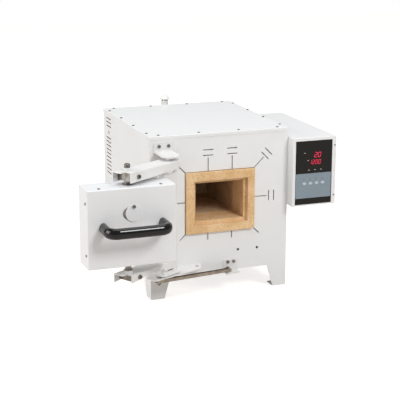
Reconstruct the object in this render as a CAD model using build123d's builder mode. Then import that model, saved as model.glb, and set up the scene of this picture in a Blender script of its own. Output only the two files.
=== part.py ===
from build123d import *
import math
import os

os.makedirs("parts", exist_ok=True)

# All sizes are in millimetres. The front faces -Y, X runs to the right and Z is up.
# The origin is the middle of the casing's underside, a leg's height above the bench.

# Casing
body_width = 382.0
body_depth = 420.0
body_height = 370.0
leg_height = 60.0
leg_top_wide = 54.0
leg_foot_wide = 37.0
leg_sheet = 2.0
sheet = 1.5
cover_lip = 7.0
flange = 20.0
gap = 0.3  # clearance around anything that passes through a hole
running = 0.1  # radial clearance of a pin in the piece that turns on it

# Chamber
mouth_width = 149.0
mouth_height = 117.0
mouth_rise = 4.0  # middle of the mouth above the middle of the casing's front
collar_rim = 19.5
collar_rim_high = 22.0
collar_proud = 8.5
ledge = 8.0  # the door plug seats against this step
ledge_depth = 12.0
throat_depth = 79.0
chamber_depth = 200.0
muffle_wall = 14.0
air_beside = 38.0
air_below = 47.0
air_above = 41.0
rear_board = 42.0

# Swing frame and door
hinge_x = -153.0
door_width = 220.0
door_height = 194.0
door_depth = 76.0
pin_from_back = 40.0
door_gap = 1.0  # left between the shut door and the collar
door_rim = 22.0  # steel border around the fibre at the back of the door
open_angle = 29.5  # arm direction at rest, measured from the panel
channel_width = 46.0
channel_sheet = 2.5
arm_tail = 28.0
pin_radius = 6.0

# Controller box
ctrl_width = 124.5
ctrl_height = 182.0
ctrl_drop = 25.0  # top of the box below the top of the casing
ctrl_proud = 32.5
ctrl_back = 320.0
bezel_depth = 8.0

# Worked out from the sizes above
front_y = -body_depth / 2
rear_y = body_depth / 2
base_z = 0.0
floor_z = base_z - leg_height
top_z = base_z + body_height
wall_x = body_width / 2 - sheet
inner_x = wall_x - sheet
mouth_z = base_z + body_height / 2 + mouth_rise
collar_face_y = front_y - collar_proud
chamber_width = mouth_width - 2 * ledge
chamber_height = mouth_height - 2 * ledge
collar_width = mouth_width + 2 * collar_rim
collar_height = mouth_height + 2 * collar_rim_high
hinge_out = collar_proud + door_gap + pin_from_back
hinge_y = front_y - hinge_out
arm_length = -hinge_x
arm_angle = math.radians(180 + open_angle)
arm_x = math.cos(arm_angle)
arm_y = math.sin(arm_angle)
door_x = hinge_x + arm_length * arm_x
door_y = hinge_y + arm_length * arm_y
door_front_y = door_y - (door_depth - pin_from_back)
door_back_y = door_y + pin_from_back
door_top_z = mouth_z + door_height / 2
door_base_z = mouth_z - door_height / 2
arm_plane = Plane(origin=(hinge_x, hinge_y, 0), x_dir=(arm_x, arm_y, 0), z_dir=(0, 0, 1))

# Heights of the swing frame, counted from the door outwards
upper_web_z = door_top_z + 34.0
upper_drop = 27.0
lower_drop = 23.0
ear_z = upper_web_z + 8.0
ear_sheet = 4.0
lower_web_z = door_base_z - 27.0
foot_z = lower_web_z - 38.0
plate_z = foot_z - 2.5
plate_sheet = 3.0
foot_sheet = 2.5

# Insulation and controller box
insulation_width = body_width - 2 * air_beside
insulation_low = base_z + air_below
insulation_high = top_z - air_above
insulation_height = insulation_high - insulation_low
insulation_mid_z = (insulation_low + insulation_high) / 2
ctrl_high = top_z - ctrl_drop
ctrl_low = ctrl_high - ctrl_height

# Screw sizes
cover_screw_head = 3.2
cover_screw_high = 1.6
cover_screw_shank = 1.7
panel_screw_head = 4.2
panel_screw_high = 2.6
panel_screw_shank = 2.2

# Casing screws sit in rows near the edges of the top cover
side_row_x = body_width / 2 - 7.0
side_row_y = (-166.0, -55.5, 55.5, 166.0)
end_row_y = body_depth / 2 - 11.5
end_row_far = wall_x - flange - 6.5
end_row_x = (-end_row_far, -end_row_far / 3, end_row_far / 3, end_row_far)
cover_screw_points = [(x, y) for x in (-side_row_x, side_row_x) for y in side_row_y]
cover_screw_points += [(x, y) for y in (-end_row_y, end_row_y) for x in end_row_x]

# Upper hinge bracket, lower hinge plate and stay bar
bracket_width = 54.0
bracket_height = 25.4
ear_radius = 23.0
bracket_screw_z = ear_z + 17.0
bracket_screw_x = (hinge_x - 12.5, hinge_x + 12.5)
stay_bracket_width = 40.0
stay_bracket_x = 30.0
stay_bracket_low = base_z - 4.0
stay_bracket_high = base_z + 28.0
stay_tab = 26.0
stay_screw_z = base_z + 22.4
stay_screw_x = (stay_bracket_x - 8.0, stay_bracket_x + 8.0)
stay_wide = 11.0
stay_tall = 8.0
stay_left = Vector(hinge_x - 39.0, front_y - 76.0, plate_z - plate_sheet - stay_tall / 2 - 1.5)
stay_right = Vector(stay_bracket_x - 13.0, front_y - 16.0, stay_bracket_low + 3.0 + stay_tall / 2 + 1.5)
stay_bolt = 3.0
plate_screw_z = plate_z - plate_sheet - 8.0
plate_screw_x = (hinge_x + 22.0, hinge_x + 62.0)

# Holes in the front panel for the two door sensors
sensor_z = base_z + 53.0
sensor_x = (51.5, 105.5)
sensor_radius = 3.0

# Flue
flue_radius = 10.0
flue_wall = 1.5
flue_z = mouth_z + 34.0
flue_y = rear_y + 26.0
flue_top_z = top_z + 8.0
flue_bend = 22.0

# Thermocouple
probe_radius = 4.0
probe_z = mouth_z + 12.0

# Left and right side panels: a wall with a flange turned in at top and bottom
side_low = base_z
side_high = top_z - sheet
louvre_long = 46.0
louvre_tall = 3.0
louvre_step = 11.0
louvre_y = rear_y - 48.0
louvre_rows = [n for n in range(15) if n not in (10, 11)]
louvre_low = top_z - 174.0

with BuildPart() as left_side_panel:
    with BuildSketch(Plane.XZ.offset(-front_y - sheet)) as left_profile:
        with BuildLine():
            Polyline(
                (-wall_x, side_low), (-wall_x, side_high), (-wall_x + flange, side_high),
                (-wall_x + flange, side_high - sheet), (-inner_x, side_high - sheet),
                (-inner_x, side_low + 2 * sheet), (-wall_x + flange, side_low + 2 * sheet),
                (-wall_x + flange, side_low + sheet), (-inner_x, side_low + sheet),
                (-inner_x, side_low), close=True,
            )
        make_face()
    extrude(amount=-(body_depth - 2 * sheet))
    # A column of air slots near the rear edge, with a space for the sensor lead bush
    with BuildSketch(Plane.YZ.offset(-wall_x)) as left_slots:
        with Locations(*[(louvre_y, louvre_low + louvre_step * n) for n in louvre_rows]):
            SlotOverall(louvre_long, louvre_tall)
        with Locations((louvre_y - 4, louvre_low + louvre_step * 10.5)):
            Circle(4.5)
    extrude(amount=sheet, mode=Mode.SUBTRACT)
    with BuildSketch(Plane.XY.offset(side_high)):
        with Locations(*[(-side_row_x, y) for y in side_row_y]):
            Circle(cover_screw_shank + gap)
    extrude(amount=-sheet, mode=Mode.SUBTRACT)
left_side_panel.part.label = "left_side_panel"
export_step(left_side_panel.part, "parts/left_side_panel.step")

# The controller wires cross through one hole in the right side
wire_hole_y = 40.0
wire_hole_z = ctrl_low + 72.0
wire_hole = 11.0
with BuildPart() as right_side_panel:
    with BuildSketch(Plane.XZ.offset(-front_y - sheet)) as right_profile:
        with BuildLine():
            Polyline(
                (wall_x, side_low), (wall_x, side_high), (wall_x - flange, side_high),
                (wall_x - flange, side_high - sheet), (inner_x, side_high - sheet),
                (inner_x, side_low + 2 * sheet), (wall_x - flange, side_low + 2 * sheet),
                (wall_x - flange, side_low + sheet), (inner_x, side_low + sheet),
                (inner_x, side_low), close=True,
            )
        make_face()
    extrude(amount=-(body_depth - 2 * sheet))
    with BuildSketch(Plane.YZ.offset(inner_x)):
        with Locations((wire_hole_y, wire_hole_z)):
            Circle(wire_hole)
    extrude(amount=sheet, mode=Mode.SUBTRACT)
    with BuildSketch(Plane.XY.offset(side_high)):
        with Locations(*[(side_row_x, y) for y in side_row_y]):
            Circle(cover_screw_shank + gap)
    extrude(amount=-sheet, mode=Mode.SUBTRACT)
right_side_panel.part.label = "right_side_panel"
export_step(right_side_panel.part, "parts/right_side_panel.step")

# Expansion slits in the front panel: a slit that runs out from the collar
# and two cross slits beyond it, eight times around the opening
slit = 2.4
slit_reach = 36.0
slit_start = 4.0
cross_near = 41.0
cross_far = 55.5
cross_long = 27.5
slit_side_x = 33.0
collar_gap = 1.5
opening_width = collar_width + 2 * collar_gap
opening_height = collar_height + 2 * collar_gap
slit_spots = []
for slit_x in (-slit_side_x, slit_side_x):
    slit_spots.append((slit_x, opening_height / 2, 90, True))
    slit_spots.append((slit_x, -opening_height / 2, -90, False))
for slit_side in (-1, 1):
    slit_turn = 0 if slit_side > 0 else 180
    slit_spots.append((slit_side * opening_width / 2, 3.0, slit_turn, True))
    slit_spots.append((slit_side * opening_width / 2, opening_height / 2, 45 if slit_side > 0 else 135, True))
    slit_spots.append((slit_side * opening_width / 2, -opening_height / 2, -45 if slit_side > 0 else -135, False))
inner_flange_x = wall_x - flange - 2.0
with BuildPart() as front_panel:
    with BuildSketch(Plane.XZ.offset(-front_y)) as front_outline:
        with Locations((0, base_z + (side_high - base_z) / 2)):
            Rectangle(2 * wall_x, side_high - base_z)
        with Locations((0, mouth_z)):
            Rectangle(opening_width, opening_height, mode=Mode.SUBTRACT)
        for spot_x, spot_z, turn, crossed in slit_spots:
            reach = slit_reach if crossed else slit_reach * 0.55
            with Locations(Location((spot_x, mouth_z + spot_z, 0), (0, 0, turn))):
                # Each slit starts a little inside the opening, so that it always breaks into it
                with Locations((reach / 2 - slit_start / 2, 0)):
                    Rectangle(reach + slit_start, slit, mode=Mode.SUBTRACT)
                if crossed:
                    with Locations((cross_near, 0), (cross_far, 0)):
                        Rectangle(slit, cross_long, mode=Mode.SUBTRACT)
        with Locations(*[(x, sensor_z) for x in sensor_x]):
            Circle(sensor_radius + gap, mode=Mode.SUBTRACT)
        with Locations(*[(x, bracket_screw_z) for x in bracket_screw_x]):
            Circle(panel_screw_shank + gap, mode=Mode.SUBTRACT)
        with Locations(*[(x, stay_screw_z) for x in stay_screw_x]):
            Circle(panel_screw_shank + gap, mode=Mode.SUBTRACT)
        with Locations(*[(x, plate_screw_z) for x in plate_screw_x]):
            Circle(panel_screw_shank + gap, mode=Mode.SUBTRACT)
    extrude(amount=-sheet)
    with BuildSketch(Plane.XY.offset(side_high)) as front_flange:
        with Locations((0, front_y + sheet + flange / 2)):
            Rectangle(2 * inner_flange_x, flange)
        with Locations(*[(x, -end_row_y) for x in end_row_x]):
            Circle(cover_screw_shank + gap, mode=Mode.SUBTRACT)
    extrude(amount=-sheet)
front_panel.part.label = "front_panel"
export_step(front_panel.part, "parts/front_panel.step")

# Rear panel with a flue hole and two fields of air slots
rear_slot_long = 60.0
rear_slot_step = 12.0
rear_slot_low = base_z + 50.0
rear_slot_high = top_z - 82.0
with BuildPart() as rear_panel:
    with BuildSketch(Plane.XZ.offset(-rear_y + sheet)) as rear_outline:
        with Locations((0, base_z + (side_high - base_z) / 2)):
            Rectangle(2 * wall_x, side_high - base_z)
        with Locations((0, flue_z)):
            Circle(flue_radius + gap, mode=Mode.SUBTRACT)
        with Locations(*[(x, rear_slot_low + rear_slot_step * n) for x in (-80.0, 0.0, 80.0) for n in range(5)]):
            SlotOverall(rear_slot_long, louvre_tall, mode=Mode.SUBTRACT)
        with Locations(*[(x, rear_slot_high + rear_slot_step * n) for x in (-100.0, 100.0) for n in range(4)]):
            SlotOverall(rear_slot_long, louvre_tall, mode=Mode.SUBTRACT)
    extrude(amount=-sheet)
    with BuildSketch(Plane.XY.offset(side_high)) as rear_flange:
        with Locations((0, rear_y - sheet - flange / 2)):
            Rectangle(2 * inner_flange_x, flange)
        with Locations(*[(x, end_row_y) for x in end_row_x]):
            Circle(cover_screw_shank + gap, mode=Mode.SUBTRACT)
    extrude(amount=-sheet)
rear_panel.part.label = "rear_panel"
export_step(rear_panel.part, "parts/rear_panel.step")

# Top cover: a flat sheet with its edges turned down over the panels
with BuildPart() as top_cover:
    with BuildSketch(Plane.XY.offset(top_z)):
        Rectangle(body_width, body_depth + 2 * sheet)
    extrude(amount=-cover_lip - sheet)
    fillet(top_cover.edges().group_by(Axis.Z)[-1], 1.2)
    with BuildSketch(Plane.XY.offset(top_z - sheet)):
        Rectangle(2 * wall_x, body_depth)
    extrude(amount=-cover_lip - sheet, mode=Mode.SUBTRACT)
    with BuildSketch(Plane.XY.offset(top_z)):
        with Locations(*cover_screw_points):
            Circle(cover_screw_shank + gap)
    extrude(amount=-sheet, mode=Mode.SUBTRACT)
top_cover.part.label = "top_cover"
export_step(top_cover.part, "parts/top_cover.step")

# Base sheet, under the bottom flanges of the side panels, with a notch at each corner for a leg
leg_spots = [(x, y) for x in (-wall_x, wall_x) for y in (front_y, rear_y)]
with BuildPart() as base_plate:
    with BuildSketch(Plane.XY.offset(base_z)):
        Rectangle(2 * inner_x, body_depth - 2 * sheet)
        with Locations(*leg_spots):
            Rectangle(2 * (leg_top_wide + gap), 2 * (leg_top_wide + gap), mode=Mode.SUBTRACT)
        with Locations(*[(x, y) for x in (-90.0, 0.0, 90.0) for y in (-140.0, -120.0, 120.0, 140.0)]):
            SlotOverall(50.0, 6.0, mode=Mode.SUBTRACT)
    extrude(amount=sheet)
base_plate.part.label = "base_plate"
export_step(base_plate.part, "parts/base_plate.step")

# Sixteen small screws hold the cover
with BuildPart() as cover_screws:
    with BuildSketch(Plane.XY.offset(top_z)):
        with Locations(*cover_screw_points):
            Circle(cover_screw_head)
    extrude(amount=cover_screw_high)
    with BuildSketch(Plane.XY.offset(top_z + cover_screw_high)):
        with Locations(*cover_screw_points):
            Rectangle(3.6, 0.9)
            Rectangle(0.9, 3.6)
    extrude(amount=-1.0, mode=Mode.SUBTRACT)
    with BuildSketch(Plane.XY.offset(top_z)):
        with Locations(*cover_screw_points):
            Circle(cover_screw_shank)
    extrude(amount=-7.0)
cover_screws.part.label = "cover_screws"
export_step(cover_screws.part, "parts/cover_screws.step")

# Four tapered corner legs of folded sheet, each with a pad that lies in a notch of the base sheet
with BuildPart() as corner_legs:
    for leg_sx, leg_sy in ((-1, -1), (1, -1), (-1, 1), (1, 1)):
        corner_x = leg_sx * wall_x
        corner_y = leg_sy * body_depth / 2
        with BuildSketch(Plane.XY.offset(floor_z)):
            with Locations((corner_x - leg_sx * leg_foot_wide / 2, corner_y - leg_sy * leg_foot_wide / 2)):
                Rectangle(leg_foot_wide, leg_foot_wide)
        with BuildSketch(Plane.XY.offset(base_z)):
            with Locations((corner_x - leg_sx * leg_top_wide / 2, corner_y - leg_sy * leg_top_wide / 2)):
                Rectangle(leg_top_wide, leg_top_wide)
        loft()
        # The inside is open towards the middle of the furnace
        inset_x = corner_x - leg_sx * (leg_sheet + leg_top_wide / 2)
        inset_y = corner_y - leg_sy * (leg_sheet + leg_top_wide / 2)
        with BuildSketch(Plane.XY.offset(floor_z + leg_sheet)):
            with Locations((inset_x, inset_y)):
                Rectangle(leg_top_wide, leg_top_wide)
        extrude(amount=leg_height - 2 * leg_sheet, mode=Mode.SUBTRACT)
        pad_x = leg_top_wide - sheet
        with BuildSketch(Plane.XY.offset(base_z)):
            with Locations((leg_sx * (inner_x - pad_x / 2), leg_sy * (rear_y - sheet - pad_x / 2))):
                Rectangle(pad_x, pad_x)
        extrude(amount=sheet)
corner_legs.part.label = "corner_legs"
export_step(corner_legs.part, "parts/corner_legs.step")

# Fibre collar: the tan frame around the mouth, proud of the panel, with one chipped corner
with BuildPart() as fibre_collar:
    with BuildSketch(Plane.XZ.offset(-collar_face_y)) as collar_outline:
        with Locations((0, mouth_z)):
            Rectangle(collar_width, collar_height)
    extrude(amount=-(collar_proud + throat_depth))
    chamfer(fibre_collar.edges().group_by(Axis.Y)[0], 1.0)
    with BuildSketch(Plane.XZ.offset(-collar_face_y)) as chip:
        with BuildLine():
            Polyline(
                (collar_width / 2 + 1, mouth_z - collar_height / 2 - 1),
                (collar_width / 2 + 1, mouth_z - collar_height / 2 + 7),
                (collar_width / 2 - 7, mouth_z - collar_height / 2 - 1), close=True,
            )
        make_face()
    extrude(amount=-14.0, mode=Mode.SUBTRACT)
    with BuildSketch(Plane.XZ.offset(-collar_face_y)) as mouth_recess:
        with Locations((0, mouth_z)):
            Rectangle(mouth_width, mouth_height)
    extrude(amount=-ledge_depth, mode=Mode.SUBTRACT)
    with BuildSketch(Plane.XZ.offset(-collar_face_y - ledge_depth)) as throat:
        with Locations((0, mouth_z)):
            Rectangle(chamber_width, chamber_height)
    extrude(amount=-(collar_proud + throat_depth - ledge_depth), mode=Mode.SUBTRACT)
fibre_collar.part.label = "fibre_collar"
export_step(fibre_collar.part, "parts/fibre_collar.step")

# Fibre boards that surround the collar and the muffle, bored beside the muffle for the heating rods
collar_back_y = front_y + throat_depth
muffle_back_y = collar_back_y + chamber_depth
board_front_y = front_y + 12.0
muffle_width = chamber_width + 2 * muffle_wall
muffle_height = chamber_height + 2 * muffle_wall
rod_radius = 3.5
rod_bank = 2.0
rod_x = muffle_width / 2 + gap + rod_bank + rod_radius
rod_zs = [mouth_z + step_up for step_up in (-36.0, -12.0, 12.0, 36.0)]
rod_points = [(x, z) for x in (-rod_x, rod_x) for z in rod_zs]
with BuildPart() as chamber_insulation:
    with BuildSketch(Plane.XZ.offset(-board_front_y)):
        with Locations((0, insulation_mid_z)):
            Rectangle(insulation_width, insulation_height)
        with Locations((0, mouth_z)):
            Rectangle(collar_width + 2 * gap, collar_height + 2 * gap, mode=Mode.SUBTRACT)
    extrude(amount=-(collar_back_y - board_front_y))
    with BuildSketch(Plane.XZ.offset(-collar_back_y)):
        with Locations((0, insulation_mid_z)):
            Rectangle(insulation_width, insulation_height)
        with Locations((0, mouth_z)):
            Rectangle(muffle_width + 2 * gap, muffle_height + 2 * gap, mode=Mode.SUBTRACT)
        with Locations(*rod_points):
            Circle(rod_radius + gap, mode=Mode.SUBTRACT)
    extrude(amount=-chamber_depth)
chamber_insulation.part.label = "chamber_insulation"
export_step(chamber_insulation.part, "parts/chamber_insulation.step")

with BuildPart() as rear_insulation:
    with BuildSketch(Plane.XZ.offset(-muffle_back_y)):
        with Locations((0, insulation_mid_z)):
            Rectangle(insulation_width, insulation_height)
        with Locations((0, flue_z)):
            Circle(flue_radius + gap, mode=Mode.SUBTRACT)
        with Locations((0, probe_z)):
            Circle(probe_radius + gap, mode=Mode.SUBTRACT)
    extrude(amount=-rear_board)
rear_insulation.part.label = "rear_insulation"
export_step(rear_insulation.part, "parts/rear_insulation.step")

# Muffle: a plain ceramic box open at both ends, heated from outside
with BuildPart() as muffle:
    with BuildSketch(Plane.XZ.offset(-collar_back_y)):
        with Locations((0, mouth_z)):
            Rectangle(muffle_width, muffle_height)
            Rectangle(chamber_width, chamber_height, mode=Mode.SUBTRACT)
    extrude(amount=-chamber_depth)
muffle.part.label = "muffle"
export_step(muffle.part, "parts/muffle.step")

rod_start = 6.0
with BuildPart() as heating_rods:
    with BuildSketch(Plane.XZ.offset(-collar_back_y - rod_start)):
        with Locations(*rod_points):
            Circle(rod_radius)
    extrude(amount=-(chamber_depth - 2 * rod_start))
heating_rods.part.label = "heating_rods"
export_step(heating_rods.part, "parts/heating_rods.step")

# Two hat rails carry the insulation above the base sheet
rail_low = base_z + sheet
rail_high = insulation_low
rail_x = 110.0
with BuildPart() as cradle_rails:
    with BuildSketch(Plane.XZ.offset(-board_front_y)):
        for side in (-1, 1):
            with BuildLine():
                Polyline(
                    (side * rail_x - 32, rail_low), (side * rail_x - 32, rail_low + 2),
                    (side * rail_x - 18, rail_low + 2), (side * rail_x - 18, rail_high),
                    (side * rail_x + 18, rail_high), (side * rail_x + 18, rail_low + 2),
                    (side * rail_x + 32, rail_low + 2), (side * rail_x + 32, rail_low),
                    (side * rail_x + 16, rail_low), (side * rail_x + 16, rail_high - 2),
                    (side * rail_x - 16, rail_high - 2), (side * rail_x - 16, rail_low), close=True,
                )
            make_face()
    extrude(amount=-(muffle_back_y + rear_board - board_front_y))
cradle_rails.part.label = "cradle_rails"
export_step(cradle_rails.part, "parts/cradle_rails.step")

# Thermocouple: a ceramic sheath through the rear board with a connection head behind it
probe_reach = 30.0
head_radius = 16.0
head_long = 18.0
board_back_y = muffle_back_y + rear_board
with BuildPart() as thermocouple:
    with BuildSketch(Plane.XZ.offset(-(muffle_back_y - probe_reach))):
        with Locations((0, probe_z)):
            Circle(probe_radius)
    extrude(amount=-(probe_reach + rear_board + 2))
    fillet(thermocouple.edges().group_by(Axis.Y)[0], 3.0)
    with BuildSketch(Plane.XZ.offset(-board_back_y)):
        with Locations((0, probe_z - 4.0)):
            Circle(head_radius)
    extrude(amount=-head_long)
    fillet(thermocouple.edges().group_by(Axis.Y)[-1], 3.0)
thermocouple.part.label = "thermocouple"
export_step(thermocouple.part, "parts/thermocouple.step")

# Flue: one bent tube from the back of the chamber out through the rear panel and up
with BuildPart() as flue_pipe:
    with BuildLine() as flue_path:
        FilletPolyline(
            (0, muffle_back_y + 1, flue_z), (0, flue_y, flue_z), (0, flue_y, flue_top_z),
            radius=flue_bend,
        )
    with BuildSketch(Plane.XZ.offset(-(muffle_back_y + 1))) as flue_section:
        with Locations((0, flue_z)):
            Circle(flue_radius)
            Circle(flue_radius - flue_wall, mode=Mode.SUBTRACT)
    sweep()
flue_pipe.part.label = "flue_pipe"
export_step(flue_pipe.part, "parts/flue_pipe.step")

# Conical rain cap on three short struts over the flue
cap_radius = 14.0
cap_gap = 4.0
cap_high = 17.0
strut = 2.0
with BuildPart() as flue_cap:
    with BuildSketch(Plane.XZ.offset(-flue_y)) as cap_profile:
        with BuildLine():
            Polyline(
                (0, flue_top_z + cap_gap + cap_high), (cap_radius, flue_top_z + cap_gap + 2.5),
                (cap_radius, flue_top_z + cap_gap), (0, flue_top_z + cap_gap), close=True,
            )
        make_face()
    revolve(axis=Axis((0, flue_y, 0), (0, 0, 1)))
    with BuildSketch(Plane.XY.offset(flue_top_z)) as struts:
        with Locations((0, flue_y)):
            with PolarLocations(flue_radius - flue_wall / 2, 3):
                Rectangle(flue_wall, strut * 2)
    extrude(amount=cap_gap)
flue_cap.part.label = "flue_cap"
export_step(flue_cap.part, "parts/flue_cap.step")

# Upper hinge bracket: a plate on the panel and a half round ear that holds the upper pin
ear_low_z = ear_z
ear_top_z = ear_z + ear_sheet
with BuildPart() as upper_hinge_bracket:
    with BuildSketch(Plane.XY.offset(ear_low_z)):
        with Locations((hinge_x, front_y - hinge_out / 2)):
            Rectangle(2 * ear_radius, hinge_out)
        with Locations((hinge_x, hinge_y)):
            Circle(ear_radius)
    extrude(amount=ear_sheet)
    with BuildSketch(Plane.XZ.offset(-front_y)):
        with Locations((hinge_x, ear_low_z + bracket_height / 2)):
            Rectangle(bracket_width, bracket_height)
    extrude(amount=3.0)
    inside_bend = upper_hinge_bracket.edges().filter_by(Axis.X).filter_by_position(Axis.Z, ear_top_z, ear_top_z)
    fillet(inside_bend.sort_by(Axis.Y)[-1], 3.0)
    with BuildSketch(Plane.XZ.offset(-front_y + 3.0)):
        with Locations(*[(x, bracket_screw_z) for x in bracket_screw_x]):
            Circle(panel_screw_shank + gap)
    extrude(amount=-3.0, mode=Mode.SUBTRACT)
    with BuildSketch(Plane.XY.offset(ear_top_z)):
        with Locations((hinge_x, hinge_y)):
            Circle(pin_radius + gap)
    extrude(amount=-ear_sheet, mode=Mode.SUBTRACT)
upper_hinge_bracket.part.label = "upper_hinge_bracket"
export_step(upper_hinge_bracket.part, "parts/upper_hinge_bracket.step")

# Upper hinge pin: a flat round head on the ear and a spacer collar between ear and arm
with BuildPart() as upper_hinge_pin:
    with BuildSketch(Plane.XY.offset(ear_top_z)):
        with Locations((hinge_x, hinge_y)):
            Circle(pin_radius + 3)
    extrude(amount=1.2)
    with BuildSketch(Plane.XY.offset(ear_top_z)):
        with Locations((hinge_x, hinge_y)):
            Circle(pin_radius)
    extrude(amount=-(ear_top_z - upper_web_z + channel_sheet + 3))
    with BuildSketch(Plane.XY.offset(ear_low_z)):
        with Locations((hinge_x, hinge_y)):
            Circle(pin_radius + 2.5)
    extrude(amount=-(ear_low_z - upper_web_z - gap))
upper_hinge_pin.part.label = "upper_hinge_pin"
export_step(upper_hinge_pin.part, "parts/upper_hinge_pin.step")

# Lower hinge plate: a shelf from the panel that carries the weight of the frame and door
# Its corners are counted from the hinge pin and from the panel
with BuildPart() as lower_hinge_plate:
    with BuildSketch(Plane.XY.offset(plate_z)) as plate_outline:
        with BuildLine():
            Polyline(
                (hinge_x + 101.0, front_y), (hinge_x + 88.0, front_y - 36.0),
                (hinge_x - 54.0, front_y - 93.0), (hinge_x - 69.0, front_y - 67.0),
                (hinge_x - 43.0, front_y - 12.0), (hinge_x - 41.0, front_y), close=True,
            )
        make_face()
        fillet(plate_outline.vertices().filter_by_position(Axis.Y, front_y - 200, front_y - 20), 6.0)
        with Locations((hinge_x + 84.0, front_y - 16.0)):
            Circle(6.0, mode=Mode.SUBTRACT)
        with Locations((hinge_x, hinge_y)):
            Circle(pin_radius + gap, mode=Mode.SUBTRACT)
        with Locations((stay_left.X, stay_left.Y)):
            Circle(stay_bolt + gap, mode=Mode.SUBTRACT)
    extrude(amount=-plate_sheet)
    with BuildSketch(Plane.XZ.offset(-front_y)) as plate_flange:
        with Locations((hinge_x + 30.0, plate_z - plate_sheet - 7.0)):
            Rectangle(120.0, 17.0)
        with Locations(*[(x, plate_screw_z) for x in plate_screw_x]):
            Circle(panel_screw_shank + gap, mode=Mode.SUBTRACT)
    extrude(amount=plate_sheet)
lower_hinge_plate.part.label = "lower_hinge_plate"
export_step(lower_hinge_plate.part, "parts/lower_hinge_plate.step")

# Lower hinge pin: a headed bolt up through the plate, with a thrust collar under the foot
with BuildPart() as lower_hinge_pin:
    with BuildSketch(Plane.XY.offset(plate_z - plate_sheet)):
        with Locations((hinge_x, hinge_y)):
            RegularPolygon(pin_radius + 3.5, 6)
    extrude(amount=-6.0)
    with BuildSketch(Plane.XY.offset(plate_z - plate_sheet)):
        with Locations((hinge_x, hinge_y)):
            Circle(pin_radius)
    extrude(amount=plate_sheet + (foot_z - plate_z) + foot_sheet + 8.0)
    with BuildSketch(Plane.XY.offset(plate_z)):
        with Locations((hinge_x, hinge_y)):
            Circle(pin_radius + 6)
    extrude(amount=foot_z - plate_z - 0.1)
lower_hinge_pin.part.label = "lower_hinge_pin"
export_step(lower_hinge_pin.part, "parts/lower_hinge_pin.step")

# Stay bar: a channel that runs back from the outer corner of the hinge plate to the panel
stay_run = stay_right - stay_left
stay_length = stay_run.length
stay_plane = Plane(origin=stay_left, z_dir=stay_run, x_dir=Vector(0, 0, 1).cross(stay_run))
with BuildPart() as stay_bar:
    with BuildSketch(stay_plane.offset(-8.0)) as stay_profile:
        Rectangle(stay_wide, stay_tall)
        with Locations((0, stay_tall / 2)):
            Rectangle(stay_wide - 3.0, 2 * (stay_tall - 1.8), mode=Mode.SUBTRACT)
    extrude(amount=stay_length + 16.0)
    with BuildSketch(Plane.XY.offset(stay_right.Z + 12.0)):
        with Locations((stay_left.X, stay_left.Y), (stay_right.X, stay_right.Y)):
            Circle(stay_bolt + gap)
    extrude(amount=40.0, both=True, mode=Mode.SUBTRACT)
stay_bar.part.label = "stay_bar"
export_step(stay_bar.part, "parts/stay_bar.step")

# Bolts through both ends of the stay bar, set upright, so their heads clear the sloping bar
with BuildPart() as stay_bolts:
    with BuildSketch(Plane.XY.offset(plate_z)):
        with Locations((stay_left.X, stay_left.Y)):
            Circle(stay_bolt + 3)
    extrude(amount=1.8)
    with BuildSketch(Plane.XY.offset(plate_z)):
        with Locations((stay_left.X, stay_left.Y)):
            Circle(stay_bolt)
    extrude(amount=-(plate_sheet + stay_tall + 8.0))
    with BuildSketch(Plane.XY.offset(plate_z - plate_sheet - stay_tall - 2.2)):
        with Locations((stay_left.X, stay_left.Y)):
            RegularPolygon(stay_bolt + 3, 6)
    extrude(amount=-2.6)
    with BuildSketch(Plane.XY.offset(stay_bracket_low)):
        with Locations((stay_right.X, stay_right.Y)):
            Circle(stay_bolt + 3)
    extrude(amount=-1.8)
    with BuildSketch(Plane.XY.offset(stay_bracket_low)):
        with Locations((stay_right.X, stay_right.Y)):
            Circle(stay_bolt)
    extrude(amount=3.0 + stay_tall + 6.0)
    with BuildSketch(Plane.XY.offset(stay_bracket_low + 3.0 + stay_tall + 2.0)):
        with Locations((stay_right.X, stay_right.Y)):
            RegularPolygon(stay_bolt + 2.6, 6)
    extrude(amount=2.4)
stay_bolts.part.label = "stay_bolts"
export_step(stay_bolts.part, "parts/stay_bolts.step")

# Stay bracket: a small angle screwed to the lower edge of the panel
with BuildPart() as stay_bracket:
    with BuildSketch(Plane.XZ.offset(-front_y)):
        with Locations((stay_bracket_x, (stay_bracket_low + stay_bracket_high) / 2)):
            Rectangle(stay_bracket_width, stay_bracket_high - stay_bracket_low)
        with Locations(*[(x, stay_screw_z) for x in stay_screw_x]):
            Circle(panel_screw_shank + gap, mode=Mode.SUBTRACT)
    extrude(amount=3.0)
    with BuildSketch(Plane.XY.offset(stay_bracket_low)) as stay_tab_outline:
        with Locations((stay_bracket_x, front_y - stay_tab / 2)):
            Rectangle(stay_bracket_width, stay_tab)
        chamfer(stay_tab_outline.vertices().group_by(Axis.Y)[0], 6.0)
        with Locations((stay_right.X, stay_right.Y)):
            Circle(stay_bolt + gap, mode=Mode.SUBTRACT)
    extrude(amount=3.0)
stay_bracket.part.label = "stay_bracket"
export_step(stay_bracket.part, "parts/stay_bracket.step")

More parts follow.
